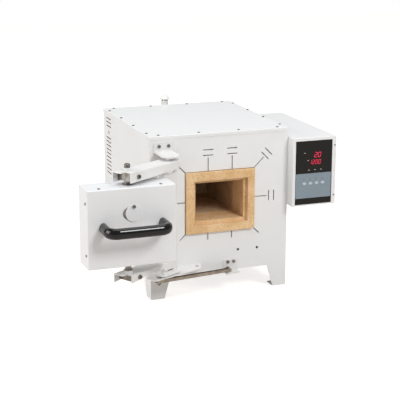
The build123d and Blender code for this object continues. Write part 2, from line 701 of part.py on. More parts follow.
# Cross head screws of the two brackets and the hinge plate on the front panel
bracket_screw_points = [(x, bracket_screw_z) for x in bracket_screw_x]
bracket_screw_points += [(x, stay_screw_z) for x in stay_screw_x]
bracket_screw_points += [(x, plate_screw_z) for x in plate_screw_x]
with BuildPart() as bracket_screws:
    with BuildSketch(Plane.XZ.offset(-front_y + 3.0)):
        with Locations(*bracket_screw_points):
            Circle(panel_screw_head)
    extrude(amount=panel_screw_high)
    with BuildSketch(Plane.XZ.offset(-front_y + 3.0 + panel_screw_high)):
        with Locations(*bracket_screw_points):
            Rectangle(5.0, 1.2)
            Rectangle(1.2, 5.0)
    extrude(amount=-1.5, mode=Mode.SUBTRACT)
    with BuildSketch(Plane.XZ.offset(-front_y + 3.0)):
        with Locations(*bracket_screw_points):
            Circle(panel_screw_shank)
    extrude(amount=-9.0)
bracket_screws.part.label = "bracket_screws"
export_step(bracket_screws.part, "parts/bracket_screws.step")

# Two door sensors behind the panel, their dark noses flush in the small holes
with BuildPart() as door_sensors:
    with BuildSketch(Plane.XZ.offset(-front_y + 0.6)):
        with Locations(*[(x, sensor_z) for x in sensor_x]):
            Circle(sensor_radius)
    extrude(amount=-(sheet + 0.6))
    with BuildSketch(Plane.XZ.offset(-front_y - sheet)):
        with Locations(*[(x, sensor_z - 2.0) for x in sensor_x]):
            Rectangle(14.0, 20.0)
    extrude(amount=-9.0)
door_sensors.part.label = "door_sensors"
export_step(door_sensors.part, "parts/door_sensors.step")

# Swing frame. In the arm plane X runs from the hinge pin to the door pin and Y to the front.
half_channel = channel_width / 2
inner_half = half_channel - channel_sheet
tail_x = arm_length + arm_tail
clamp_x = arm_length - 15.0
clamp_radius = 3.0
clamp_drop_upper = 14.0
clamp_drop_lower = 10.0
upper_slim = 19.5
lower_slim = 12.0
slim_x = arm_length - 53.0
boss_upper = 8.0
boss_lower = 7.0
boss_radius = 9.5
arm_side = Plane(origin=(hinge_x, hinge_y, 0), x_dir=(arm_x, arm_y, 0), z_dir=(arm_y, -arm_x, 0))


def flange_plane(offset_y, z):
    """A plane on the front face of a channel, its Y up and its Z pointing to the front."""
    spot = arm_plane.from_local_coords(Vector(0, offset_y, z))
    front = Vector(math.sin(-arm_angle), math.cos(arm_angle), 0)
    return Plane(origin=spot, x_dir=Vector(arm_x, arm_y, 0) * -1, z_dir=front)


with BuildPart() as upper_arm:
    with BuildSketch(arm_plane.offset(upper_web_z)):
        with Locations((tail_x / 2, 0)):
            Rectangle(tail_x, channel_width)
        Circle(half_channel)
    extrude(amount=-upper_drop)
    fillet(upper_arm.edges().group_by(Axis.Z)[-1], 2.0)
    with BuildSketch(arm_plane.offset(upper_web_z - channel_sheet)):
        with Locations((tail_x / 2 + 5, 0)):
            Rectangle(tail_x + 10, 2 * inner_half)
        Circle(inner_half)
    extrude(amount=-upper_drop, mode=Mode.SUBTRACT)
    # The flanges are deepest at the door pin and slimmer towards the hinge
    with BuildSketch(arm_side) as upper_taper:
        with BuildLine():
            Polyline(
                (tail_x, upper_web_z - upper_drop), (-channel_width, upper_web_z - upper_slim),
                (-channel_width, upper_web_z - upper_drop - 1), (tail_x, upper_web_z - upper_drop - 1), close=True,
            )
        make_face()
    extrude(amount=channel_width, both=True, mode=Mode.SUBTRACT)
    # The front half of the far end is cut back to the door pin
    with BuildSketch(arm_plane.offset(upper_web_z)):
        with Locations((tail_x, half_channel)):
            Rectangle(2 * (arm_tail - 12), 2 * (half_channel - 5))
    extrude(amount=-upper_drop, mode=Mode.SUBTRACT)
    with BuildSketch(arm_plane.offset(upper_web_z)):
        with Locations((arm_length, 0)):
            Circle(boss_radius)
    extrude(amount=boss_upper)
    with BuildSketch(arm_plane.offset(upper_web_z + boss_upper)):
        Circle(pin_radius + running)
        with Locations((arm_length, 0)):
            Circle(pin_radius + gap)
    extrude(amount=-(boss_upper + channel_sheet), mode=Mode.SUBTRACT)
    with BuildSketch(flange_plane(half_channel, upper_web_z - clamp_drop_upper)):
        with Locations((-clamp_x, 0)):
            Circle(clamp_radius + gap)
    extrude(amount=-channel_sheet, mode=Mode.SUBTRACT)
upper_arm.part.label = "upper_arm"
export_step(upper_arm.part, "parts/upper_arm.step")

# Upright of the frame: a tall plate with a return edge at its left, an opening near the top and
# a slot near the foot
upright_front = 10.0
upright_rear = -12.5
upright_right = -16.0
upright_left = 35.0
upright_top = upper_web_z - channel_sheet
upright_base = foot_z + foot_sheet
notch_base = door_top_z
with BuildPart() as upright:
    with BuildSketch(arm_plane.offset(upright_base)) as upright_profile:
        with BuildLine():
            Polyline(
                (upright_right, upright_front), (upright_left, upright_front),
                (upright_left, upright_rear), (upright_left - channel_sheet, upright_rear),
                (upright_left - channel_sheet, upright_front - channel_sheet),
                (upright_right, upright_front - channel_sheet), close=True,
            )
        make_face()
    extrude(amount=upright_top - upright_base)
    with BuildSketch(flange_plane(upright_front, notch_base)) as notch:
        with Locations((-8.0, (upright_top - notch_base) / 2)):
            RectangleRounded(24.0, upright_top - notch_base - 4.0, 6.0)
    extrude(amount=-channel_sheet, mode=Mode.SUBTRACT)
    with BuildSketch(flange_plane(upright_front, upright_base + 9.0)) as foot_slot:
        with Locations((-15.0, 0)):
            SlotOverall(33.0, 4.5)
    extrude(amount=-channel_sheet, mode=Mode.SUBTRACT)
upright.part.label = "upright"
export_step(upright.part, "parts/upright.step")

# Foot plate of the frame: turns on the lower pin and carries the upright
foot_front = 17.0
with BuildPart() as foot_plate:
    with BuildSketch(arm_plane.offset(foot_z)) as foot_outline:
        with BuildLine():
            Polyline(
                (-24.0, upright_rear), (-24.0, foot_front - 5.0), (-16.0, foot_front),
                (upright_left + 2.0, foot_front), (upright_left + 8.0, foot_front - 8.0),
                (upright_left + 8.0, upright_rear), close=True,
            )
        make_face()
        Circle(pin_radius + running, mode=Mode.SUBTRACT)
    extrude(amount=foot_sheet)
foot_plate.part.label = "foot_plate"
export_step(foot_plate.part, "parts/foot_plate.step")

# Lower arm: the same channel, starting at the return edge of the upright
lower_start = upright_left
with BuildPart() as lower_arm:
    with BuildSketch(arm_plane.offset(lower_web_z)):
        with Locations(((tail_x + lower_start) / 2, 0)):
            Rectangle(tail_x - lower_start, channel_width)
    extrude(amount=-lower_drop)
    fillet(lower_arm.edges().group_by(Axis.Z)[-1].sort_by(Axis.X)[0:4], 1.5)
    with BuildSketch(arm_plane.offset(lower_web_z - channel_sheet)):
        with Locations(((tail_x + lower_start) / 2 + channel_sheet, 0)):
            Rectangle(tail_x - lower_start, 2 * inner_half)
    extrude(amount=-lower_drop, mode=Mode.SUBTRACT)
    with BuildSketch(arm_side) as lower_taper:
        with BuildLine():
            Polyline(
                (tail_x, lower_web_z - lower_drop), (slim_x, lower_web_z - lower_slim),
                (0, lower_web_z - lower_slim), (0, lower_web_z - lower_drop - 1),
                (tail_x, lower_web_z - lower_drop - 1), close=True,
            )
        make_face()
    extrude(amount=channel_width, both=True, mode=Mode.SUBTRACT)
    with BuildSketch(arm_plane.offset(lower_web_z)):
        with Locations((tail_x, half_channel)):
            Rectangle(2 * (arm_tail - 12), 2 * (half_channel - 5))
    extrude(amount=-lower_drop, mode=Mode.SUBTRACT)
    with BuildSketch(arm_plane.offset(lower_web_z)):
        with Locations((arm_length, 0)):
            Circle(boss_radius + 2.5)
    extrude(amount=boss_lower)
    with BuildSketch(arm_plane.offset(lower_web_z + boss_lower)):
        with Locations((arm_length, 0)):
            Circle(pin_radius + gap)
    extrude(amount=-(boss_lower + channel_sheet), mode=Mode.SUBTRACT)
    with BuildSketch(flange_plane(half_channel, lower_web_z - clamp_drop_lower)):
        with Locations((-clamp_x, 0)):
            Circle(clamp_radius + gap)
    extrude(amount=-channel_sheet, mode=Mode.SUBTRACT)
lower_arm.part.label = "lower_arm"
export_step(lower_arm.part, "parts/lower_arm.step")

# A solid block inside each channel clamps the door pin; a screw through the flange holds it
block_long = 40.0
block_left = arm_length + 12.0
upper_block = 20.0
lower_block = 14.0
block_mid = block_left - block_long / 2
with BuildPart() as pin_blocks:
    for web_z, block_high, clamp_drop in (
        (upper_web_z, upper_block, clamp_drop_upper), (lower_web_z, lower_block, clamp_drop_lower),
    ):
        with BuildSketch(arm_plane.offset(web_z - channel_sheet)):
            with Locations((block_mid, 0)):
                Rectangle(block_long, 2 * inner_half)
            with Locations((arm_length, 0)):
                Circle(pin_radius + gap, mode=Mode.SUBTRACT)
        extrude(amount=-block_high)
        with BuildSketch(flange_plane(inner_half, web_z - clamp_drop)):
            with Locations((-clamp_x, 0)):
                Circle(clamp_radius + gap)
        extrude(amount=-12.0, mode=Mode.SUBTRACT)
pin_blocks.part.label = "pin_blocks"
export_step(pin_blocks.part, "parts/pin_blocks.step")

with BuildPart() as clamp_screws:
    for screw_z in (upper_web_z - clamp_drop_upper, lower_web_z - clamp_drop_lower):
        with BuildSketch(flange_plane(half_channel, screw_z)):
            with Locations((-clamp_x, 0)):
                Circle(clamp_radius + 2.4)
        extrude(amount=4.0)
        with BuildSketch(flange_plane(half_channel + 4.0, screw_z)):
            with Locations((-clamp_x, 0)):
                RegularPolygon(2.6, 6)
        extrude(amount=-2.6, mode=Mode.SUBTRACT)
        with BuildSketch(flange_plane(half_channel, screw_z)):
            with Locations((-clamp_x, 0)):
                Circle(clamp_radius)
        extrude(amount=-(channel_sheet + 9.0))
clamp_screws.part.label = "clamp_screws"
export_step(clamp_screws.part, "parts/clamp_screws.step")

# Door pins: fixed in the arms, the door turns on them
pin_in_door = 20.0
bush_flange = 3.0
nut_radius = 7.5
with BuildPart() as upper_door_pin:
    with BuildSketch(Plane.XY.offset(door_top_z - pin_in_door)):
        with Locations((door_x, door_y)):
            Circle(pin_radius)
    extrude(amount=pin_in_door + (upper_web_z - door_top_z) + boss_upper + 5.0)
    with BuildSketch(Plane.XY.offset(upper_web_z + boss_upper)):
        with Locations((door_x, door_y)):
            Circle(nut_radius)
    extrude(amount=10.0)
    fillet(upper_door_pin.edges().group_by(Axis.Z)[-1], 5.0)
    with BuildSketch(Plane.XY.offset(upper_web_z - channel_sheet - upper_block)):
        with Locations((door_x, door_y)):
            Circle(nut_radius)
    extrude(amount=-5.0)
upper_door_pin.part.label = "upper_door_pin"
export_step(upper_door_pin.part, "parts/upper_door_pin.step")

with BuildPart() as lower_door_pin:
    with BuildSketch(Plane.XY.offset(lower_web_z - channel_sheet - lower_block)):
        with Locations((door_x, door_y)):
            Circle(pin_radius)
    extrude(amount=lower_block + channel_sheet + (door_base_z - lower_web_z) + pin_in_door)
    with BuildSketch(Plane.XY.offset(lower_web_z + boss_lower)):
        with Locations((door_x, door_y)):
            Circle(boss_radius)
    extrude(amount=3.0)
    with BuildSketch(Plane.XY.offset(lower_web_z + boss_lower)):
        with Locations((door_x, door_y)):
            Circle(pin_radius + 1.5)
    extrude(amount=door_base_z - lower_web_z - boss_lower - bush_flange - 0.4)
lower_door_pin.part.label = "lower_door_pin"
export_step(lower_door_pin.part, "parts/lower_door_pin.step")

# Door: an outer shell of sheet open at the back
door_sheet = 1.5
door_edge = 2.0
door_screw_in = 14.0
door_screw_x = (door_x - door_width / 2 + 33.0, door_x + door_width / 2 - 33.0)
door_screw_z = (door_base_z + 33.0, door_top_z - 33.0)
peep_x = door_x - 8.0
peep_z = mouth_z + 35.0
peep_radius = 15.0
peep_bore = 11.0
handle_half = 74.0
handle_x = door_x + 3.0
handle_out = 58.0
handle_z = mouth_z + 4.0
handle_bend = 22.0
handle_thick = 10.5
handle_tall = 13.5
with BuildPart() as door_shell:
    with BuildSketch(Plane.XZ.offset(-door_front_y)):
        with Locations((door_x, mouth_z)):
            Rectangle(door_width, door_height)
    extrude(amount=-(door_depth - door_sheet))
    fillet(door_shell.edges().group_by(Axis.Y)[0], door_edge)
    with BuildSketch(Plane.XZ.offset(-door_front_y - door_sheet)):
        with Locations((door_x, mouth_z)):
            Rectangle(door_width - 2 * door_sheet, door_height - 2 * door_sheet)
    extrude(amount=-door_depth, mode=Mode.SUBTRACT)
    with BuildSketch(Plane.XZ.offset(-door_front_y)):
        with Locations((peep_x, peep_z)):
            Circle(peep_radius)
    extrude(amount=-door_sheet, mode=Mode.SUBTRACT)
    with BuildSketch(Plane.XY.offset(door_base_z)):
        with Locations((door_x, door_y)):
            Circle(pin_radius + 3 + gap)
        with Locations(*[(x, door_front_y + door_screw_in) for x in door_screw_x]):
            Circle(cover_screw_shank + gap)
    extrude(amount=door_height, mode=Mode.SUBTRACT)
    with BuildSketch(Plane.YZ.offset(door_x - door_width / 2)):
        with Locations(*[(door_front_y + door_screw_in, z) for z in door_screw_z]):
            Circle(cover_screw_shank + gap)
    extrude(amount=door_width, mode=Mode.SUBTRACT)
door_shell.part.label = "door_shell"
export_step(door_shell.part, "parts/door_shell.step")

# Back frame of the door, with an opening that the fibre plug fills
plug_width = mouth_width - 10.0
plug_height = mouth_height - 10.0
plug_reach = 11.0
seal_width = door_width - 2 * door_rim
seal_height = door_height - 2 * door_rim
plug_board = 34.0
with BuildPart() as door_back:
    with BuildSketch(Plane.XZ.offset(-door_back_y)):
        with Locations((door_x, mouth_z)):
            Rectangle(door_width, door_height)
            Rectangle(seal_width + 2 * gap, seal_height + 2 * gap, mode=Mode.SUBTRACT)
    extrude(amount=door_sheet)
door_back.part.label = "door_back"
export_step(door_back.part, "parts/door_back.step")

# Fibre filling of the door: a thick board with a stepped plug that enters the mouth
with BuildPart() as door_plug:
    with BuildSketch(Plane.XZ.offset(-door_back_y)):
        with Locations((door_x, mouth_z)):
            Rectangle(seal_width, seal_height)
    extrude(amount=plug_board)
    with BuildSketch(Plane.XZ.offset(-door_back_y)):
        with Locations((door_x, mouth_z)):
            Rectangle(plug_width, plug_height)
    extrude(amount=-plug_reach, taper=4)
    with BuildSketch(Plane.XZ.offset(-door_back_y - plug_reach)):
        with Locations((peep_x, peep_z)):
            Circle(peep_bore + gap)
    extrude(amount=plug_board + plug_reach, mode=Mode.SUBTRACT)
door_plug.part.label = "door_plug"
export_step(door_plug.part, "parts/door_plug.step")

filling_front = door_front_y + 16.0
filling_back = door_back_y - plug_board
with BuildPart() as door_filling:
    with BuildSketch(Plane.XZ.offset(-filling_front)):
        with Locations((door_x, mouth_z)):
            Rectangle(seal_width, seal_height)
        with Locations((peep_x, peep_z)):
            Circle(peep_bore + gap, mode=Mode.SUBTRACT)
    extrude(amount=-(filling_back - filling_front))
door_filling.part.label = "door_filling"
export_step(door_filling.part, "parts/door_filling.step")

# Bushes in the top and bottom of the door, held in the shell
with BuildPart() as door_bushes:
    for bush_low, bush_long in (
        (door_top_z - pin_in_door - 2.0, pin_in_door + 2.0),
        (door_base_z, pin_in_door + 2.0),
    ):
        with BuildSketch(Plane.XY.offset(bush_low)):
            with Locations((door_x, door_y)):
                Circle(pin_radius + 3)
                Circle(pin_radius + running, mode=Mode.SUBTRACT)
        extrude(amount=bush_long)
    with BuildSketch(Plane.XY.offset(door_top_z)):
        with Locations((door_x, door_y)):
            Circle(pin_radius + 6)
            Circle(pin_radius + running, mode=Mode.SUBTRACT)
    extrude(amount=2.5)
    with BuildSketch(Plane.XY.offset(door_base_z)):
        with Locations((door_x, door_y)):
            Circle(pin_radius + 6)
            Circle(pin_radius + running, mode=Mode.SUBTRACT)
    extrude(amount=-bush_flange)
door_bushes.part.label = "door_bushes"
export_step(door_bushes.part, "parts/door_bushes.step")

# Sight tube through the door with a quartz glass near its front
tube_wall = 1.5
with BuildPart() as sight_tube:
    with BuildSketch(Plane.XZ.offset(-door_front_y - door_sheet)) as tube_flange:
        with Locations((peep_x, peep_z)):
            Circle(peep_radius + 6)
            Circle(peep_bore - tube_wall, mode=Mode.SUBTRACT)
    extrude(amount=-2.0)
    with BuildSketch(Plane.XZ.offset(-door_front_y - door_sheet)) as tube_section:
        with Locations((peep_x, peep_z)):
            Circle(peep_bore)
            Circle(peep_bore - tube_wall, mode=Mode.SUBTRACT)
    extrude(amount=-(door_depth - 20.0))
sight_tube.part.label = "sight_tube"
export_step(sight_tube.part, "parts/sight_tube.step")

with BuildPart() as sight_glass:
    with BuildSketch(Plane.XZ.offset(-door_front_y - door_sheet - 8.0)):
        with Locations((peep_x, peep_z)):
            Circle(peep_bore - tube_wall - 0.1)
    extrude(amount=-3.0)
sight_glass.part.label = "sight_glass"
export_step(sight_glass.part, "parts/sight_glass.step")

# Round cover over the sight hole; it hangs from one screw and swings aside
cover_radius = 20.5
cover_x = door_x + 4.0
cover_pivot_z = peep_z + 17.0
cover_sheet = 2.5
cover_back_y = door_front_y - 0.6
with BuildPart() as sight_cover:
    with BuildSketch(Plane.XZ.offset(-cover_back_y)) as sight_cover_outline:
        with Locations((cover_x, peep_z)):
            Circle(cover_radius)
        with Locations((cover_x, cover_pivot_z)):
            Circle(2.6, mode=Mode.SUBTRACT)
    extrude(amount=cover_sheet)
    fillet(sight_cover.edges().group_by(Axis.Y)[0].sort_by(SortBy.LENGTH)[-1], 0.8)
sight_cover.part.label = "sight_cover"
export_step(sight_cover.part, "parts/sight_cover.step")

with BuildPart() as sight_cover_screw:
    with BuildSketch(Plane.XZ.offset(-door_front_y)):
        with Locations((cover_x, cover_pivot_z)):
            Circle(2.3)
    extrude(amount=cover_sheet + 1.2)
    with BuildSketch(Plane.XZ.offset(-door_front_y + cover_sheet + 1.2)):
        with Locations((cover_x, cover_pivot_z)):
            Circle(4.4)
    extrude(amount=2.4)
    with BuildSketch(Plane.XZ.offset(-door_front_y + cover_sheet + 3.6)):
        with Locations((cover_x, cover_pivot_z)):
            Rectangle(5.0, 1.2)
            Rectangle(1.2, 5.0)
    extrude(amount=-1.4, mode=Mode.SUBTRACT)
sight_cover_screw.part.label = "sight_cover_screw"
export_step(sight_cover_screw.part, "parts/sight_cover_screw.step")

# Bow handle: one thick bar bent out from the door and back
with BuildPart() as handle:
    with BuildLine() as handle_path:
        FilletPolyline(
            (handle_x - handle_half, door_front_y, handle_z),
            (handle_x - handle_half, door_front_y - handle_out, handle_z),
            (handle_x + handle_half, door_front_y - handle_out, handle_z),
            (handle_x + handle_half, door_front_y, handle_z), radius=handle_bend,
        )
    with BuildSketch(Plane.XZ.offset(-door_front_y)) as handle_section:
        with Locations((handle_x - handle_half, handle_z)):
            Ellipse(handle_thick, handle_tall)
    sweep()
handle.part.label = "handle"
export_step(handle.part, "parts/handle.step")

# Small screws along the edges of the door shell
with BuildPart() as door_screws:
    for screw_plane, screw_points in (
        (Plane.XY.offset(door_top_z), [(x, door_front_y + door_screw_in) for x in door_screw_x]),
        (Plane.YZ.offset(door_x + door_width / 2), [(door_front_y + door_screw_in, z) for z in door_screw_z]),
    ):
        with BuildSketch(screw_plane):
            with Locations(*screw_points):
                Circle(cover_screw_head)
        extrude(amount=cover_screw_high)
        with BuildSketch(screw_plane):
            with Locations(*screw_points):
                Circle(cover_screw_shank)
        extrude(amount=-6.0)
    for screw_plane, screw_points in (
        (Plane.XY.offset(door_base_z), [(x, door_front_y + door_screw_in) for x in door_screw_x]),
        (Plane.YZ.offset(door_x - door_width / 2), [(door_front_y + door_screw_in, z) for z in door_screw_z]),
    ):
        with BuildSketch(screw_plane):
            with Locations(*screw_points):
                Circle(cover_screw_head)
        extrude(amount=-cover_screw_high)
        with BuildSketch(screw_plane):
            with Locations(*screw_points):
                Circle(cover_screw_shank)
        extrude(amount=6.0)
door_screws.part.label = "door_screws"
export_step(door_screws.part, "parts/door_screws.step")

# Controller box on the right side
ctrl_left = wall_x
ctrl_right = ctrl_left + ctrl_width
ctrl_mid = (ctrl_left + ctrl_right) / 2
ctrl_mid_z = (ctrl_low + ctrl_high) / 2
bezel_front_y = front_y - ctrl_proud
housing_front_y = bezel_front_y + bezel_depth
housing_back_y = front_y + ctrl_back
gland_z = ctrl_low + 34.0
gland_radius = 9.0
rocker_y = housing_back_y - 60.0
rocker_z = ctrl_low + 40.0
rocker_wide = 20.0
rocker_tall = 27.0
with BuildPart() as controller_housing:
    with BuildSketch(Plane.XZ.offset(-housing_front_y)):
        with Locations((ctrl_mid, ctrl_mid_z)):
            Rectangle(ctrl_width, ctrl_height)
    extrude(amount=-(housing_back_y - housing_front_y))
    fillet(controller_housing.edges().filter_by(Axis.Y).group_by(Axis.X)[-1], 1.5)
    with BuildSketch(Plane.XZ.offset(-housing_front_y)):
        with Locations((ctrl_mid, ctrl_mid_z)):
            Rectangle(ctrl_width - 2 * sheet, ctrl_height - 2 * sheet)
    extrude(amount=-(housing_back_y - housing_front_y - sheet), mode=Mode.SUBTRACT)
    with BuildSketch(Plane.YZ.offset(ctrl_left)):
        with Locations((wire_hole_y, wire_hole_z)):
            Circle(wire_hole)
    extrude(amount=sheet, mode=Mode.SUBTRACT)
    with BuildSketch(Plane.YZ.offset(ctrl_right - sheet)):
        with Locations((rocker_y, rocker_z)):
            Rectangle(rocker_wide + 2 * gap, rocker_tall + 2 * gap)
        with Locations(*[(front_y + 250.0, ctrl_high - 30.0 - 9.0 * n) for n in range(7)]):
            SlotOverall(44.0, 4.0)
    extrude(amount=sheet, mode=Mode.SUBTRACT)
    with BuildSketch(Plane.XZ.offset(-housing_back_y)):
        with Locations((ctrl_mid, gland_z)):
            Circle(gland_radius + gap)
    extrude(amount=sheet, mode=Mode.SUBTRACT)
controller_housing.part.label = "controller_housing"
export_step(controller_housing.part, "parts/controller_housing.step")

window_width = 105.0
window_height = 170.5
window_mid_z = ctrl_low + 3.5 + window_height / 2
window_mid_x = ctrl_left + 8.0 + window_width / 2
bezel_screw = (ctrl_right - 4.6, ctrl_high - 24.0)
with BuildPart() as controller_bezel:
    with BuildSketch(Plane.XZ.offset(-bezel_front_y)):
        with Locations((ctrl_mid, ctrl_mid_z)):
            Rectangle(ctrl_width, ctrl_height)
    extrude(amount=-bezel_depth)
    fillet(controller_bezel.edges().group_by(Axis.Y)[0], 1.5)
    with BuildSketch(Plane.XZ.offset(-bezel_front_y)):
        with Locations((window_mid_x, window_mid_z)):
            Rectangle(window_width, window_height)
    extrude(amount=-bezel_depth, mode=Mode.SUBTRACT)
controller_bezel.part.label = "controller_bezel"
export_step(controller_bezel.part, "parts/controller_bezel.step")

window_in = 1.2
window_face_y = bezel_front_y + window_in
key_width = 102.5
key_height = 66.7
key_mid_z = ctrl_low + 53.5
button_z = key_mid_z + 6.5
button_step = 17.5
button_x = [ctrl_left + 34.3 + button_step * n for n in range(4)]
button_wide = 11.4
button_tall = 7.6
key_depth = 3.0
button_travel = 0.8
with BuildPart() as display_window:
    with BuildSketch(Plane.XZ.offset(-window_face_y)):
        with Locations((window_mid_x, window_mid_z)):
            Rectangle(window_width - 2 * gap, window_height - 2 * gap)
        with Locations((window_mid_x, key_mid_z)):
            Rectangle(key_width, key_height, mode=Mode.SUBTRACT)
    extrude(amount=-key_depth)
display_window.part.label = "display_window"
export_step(display_window.part, "parts/display_window.step")

with BuildPart() as keypad:
    with BuildSketch(Plane.XZ.offset(-window_face_y + 0.3)) as keypad_outline:
        with Locations((window_mid_x, key_mid_z)):
            Rectangle(key_width - 2 * gap, key_height - 2 * gap)
        with Locations(*[(x, button_z) for x in button_x]):
            Ellipse(button_wide / 2 + gap, button_tall / 2 + gap, mode=Mode.SUBTRACT)
    extrude(amount=-(key_depth + 0.3))
keypad.part.label = "keypad"
export_step(keypad.part, "parts/keypad.step")

# Four oval buttons, each a cap with a flange behind the keypad that stops it falling out
button_names = ("button_set", "button_shift", "button_down", "button_up")
for button_name, one_x in zip(button_names, button_x):
    with BuildPart() as button:
        with BuildSketch(Plane.XZ.offset(-window_face_y + 1.7)):
            with Locations((one_x, button_z)):
                Ellipse(button_wide / 2, button_tall / 2)
        extrude(amount=-(key_depth + 1.9))
        fillet(button.edges().group_by(Axis.Y)[0], 0.8)
        with BuildSketch(Plane.XZ.offset(-window_face_y - key_depth - 0.05)):
            with Locations((one_x, button_z)):
                Ellipse(button_wide / 2 + 1.4, button_tall / 2 + 1.4)
        extrude(amount=-1.2)
    button.part.label = button_name
    export_step(button.part, "parts/" + button_name + ".step")

with BuildPart() as bezel_screws:
    with BuildSketch(Plane.XZ.offset(-bezel_front_y)):
        with Locations(bezel_screw, (bezel_screw[0], ctrl_low + 24.0)):
            Circle(1.9)
    extrude(amount=1.0)
bezel_screws.part.label = "bezel_screws"
export_step(bezel_screws.part, "parts/bezel_screws.step")

# Circuit board behind the window, on four short posts
board_y = window_face_y + 12.0
with BuildPart() as controller_board:
    with BuildSketch(Plane.XZ.offset(-board_y)):
        with Locations((window_mid_x, window_mid_z)):
            Rectangle(window_width - 6.0, window_height - 12.0)
    extrude(amount=-1.6)
    with BuildSketch(Plane.XZ.offset(-board_y)):
        with Locations(*[(window_mid_x + x, window_mid_z + z) for x in (-46, 46) for z in (-75, 75)]):
            Circle(2.5)
    extrude(amount=board_y - window_face_y - key_depth)
    with BuildSketch(Plane.XZ.offset(-board_y)):
        with Locations((window_mid_x, window_mid_z + 38.0)):
            Rectangle(70.0, 40.0)
    extrude(amount=6.0)
controller_board.part.label = "controller_board"
export_step(controller_board.part, "parts/controller_board.step")

# Solid state relay on a finned plate against the floor of the box
relay_y = front_y + 120.0
heatsink_base = 5.0
heatsink_wide = 90.0
heatsink_long = 80.0
fin_x = (-42.0, -34.0, 34.0, 42.0)
fin_high = 24.0
relay_wide = 45.0
relay_long = 58.0
relay_high = 22.0
terminal_y = relay_y + 110.0
with BuildPart() as power_relay:
    with BuildSketch(Plane.XY.offset(ctrl_low + sheet)):
        with Locations((ctrl_mid, relay_y)):
            Rectangle(heatsink_wide, heatsink_long)
    extrude(amount=heatsink_base)
    with BuildSketch(Plane.XY.offset(ctrl_low + sheet + heatsink_base)):
        with Locations(*[(ctrl_mid + x, relay_y) for x in fin_x]):
            Rectangle(2.0, heatsink_long)
    extrude(amount=fin_high)
    with BuildSketch(Plane.XY.offset(ctrl_low + sheet + heatsink_base)) as relay_outline:
        with Locations((ctrl_mid, relay_y)):
            RectangleRounded(relay_wide, relay_long, 3.0)
    extrude(amount=relay_high)
power_relay.part.label = "power_relay"
export_step(power_relay.part, "parts/power_relay.step")

with BuildPart() as terminal_block:
    with BuildSketch(Plane.XY.offset(ctrl_low + sheet)):
        with Locations((ctrl_mid, terminal_y)):
            Rectangle(70.0, 30.0)
    extrude(amount=18.0)
    with BuildSketch(Plane.XY.offset(ctrl_low + sheet + 18.0)):
        with Locations(*[(ctrl_mid - 28.0 + 14.0 * n, terminal_y) for n in range(5)]):
            Circle(4.0)
    extrude(amount=-6.0, mode=Mode.SUBTRACT)
terminal_block.part.label = "terminal_block"
export_step(terminal_block.part, "parts/terminal_block.step")

# Cable gland in the back of the controller box; no lead is fitted
with BuildPart() as cable_gland:
    with BuildSketch(Plane.XZ.offset(-housing_back_y)):
        with Locations((ctrl_mid, gland_z)):
            RegularPolygon(gland_radius + 4, 6)
    extrude(amount=-6.0)
    with BuildSketch(Plane.XZ.offset(-housing_back_y + 5.0)):
        with Locations((ctrl_mid, gland_z)):
            Circle(gland_radius)
    extrude(amount=-21.0)
    fillet(cable_gland.edges().group_by(Axis.Y)[-1], 3.0)
    with BuildSketch(Plane.XZ.offset(-housing_back_y + 5.0)):
        with Locations((ctrl_mid, gland_z)):
            Circle(4.5)
    extrude(amount=-21.0, mode=Mode.SUBTRACT)
cable_gland.part.label = "cable_gland"
export_step(cable_gland.part, "parts/cable_gland.step")

# Mains rocker switch in the right side of the box: a frame and the rocker in it
frame_proud = 2.0
rocker_in = 14.0
rocker_lip = 2.0
with BuildPart() as rocker_frame:
    with BuildSketch(Plane.YZ.offset(ctrl_right + frame_proud)):
        with Locations((rocker_y, rocker_z)):
            Rectangle(rocker_wide + 5.0, rocker_tall + 5.0)
    extrude(amount=-frame_proud)
    with BuildSketch(Plane.YZ.offset(ctrl_right)):
        with Locations((rocker_y, rocker_z)):
            Rectangle(rocker_wide, rocker_tall)
    extrude(amount=-rocker_in)
    with BuildSketch(Plane.YZ.offset(ctrl_right + frame_proud)):
        with Locations((rocker_y, rocker_z)):
            Rectangle(rocker_wide - 2 * rocker_lip, rocker_tall - 2 * rocker_lip)
    extrude(amount=-(frame_proud + rocker_in - 2.0), mode=Mode.SUBTRACT)
rocker_frame.part.label = "rocker_frame"
export_step(rocker_frame.part, "parts/rocker_frame.step")

# The rocker is a shallow V that leans one way; pressing its raised end leans it the other way
rocker_lean = 8.0
rocker_half = rocker_tall / 2 - rocker_lip - 1.5
rocker_axis_x = ctrl_right - 3.0
rocker_depth = 2.5
rocker_face = 4.0
rocker_tip = 5.0
rocker_turn = math.radians(rocker_lean)
rocker_shape = [
    (-rocker_depth, -rocker_half + 0.8), (rocker_tip, -rocker_half), (rocker_face, 0.0),
    (rocker_tip, rocker_half), (-rocker_depth, rocker_half - 0.8),
]
rocker_outline = [
    (
        rocker_axis_x + x * math.cos(rocker_turn) + z * math.sin(rocker_turn),
        rocker_z - x * math.sin(rocker_turn) + z * math.cos(rocker_turn),
    )
    for x, z in rocker_shape
]
with BuildPart() as rocker:
    with BuildSketch(Plane.XZ.offset(-(rocker_y - rocker_wide / 2 + rocker_lip + gap))) as rocker_side:
        with BuildLine():
            Polyline(*rocker_outline, close=True)
        make_face()
    extrude(amount=-(rocker_wide - 2 * rocker_lip - 2 * gap))
rocker.part.label = "rocker"
export_step(rocker.part, "parts/rocker.step")
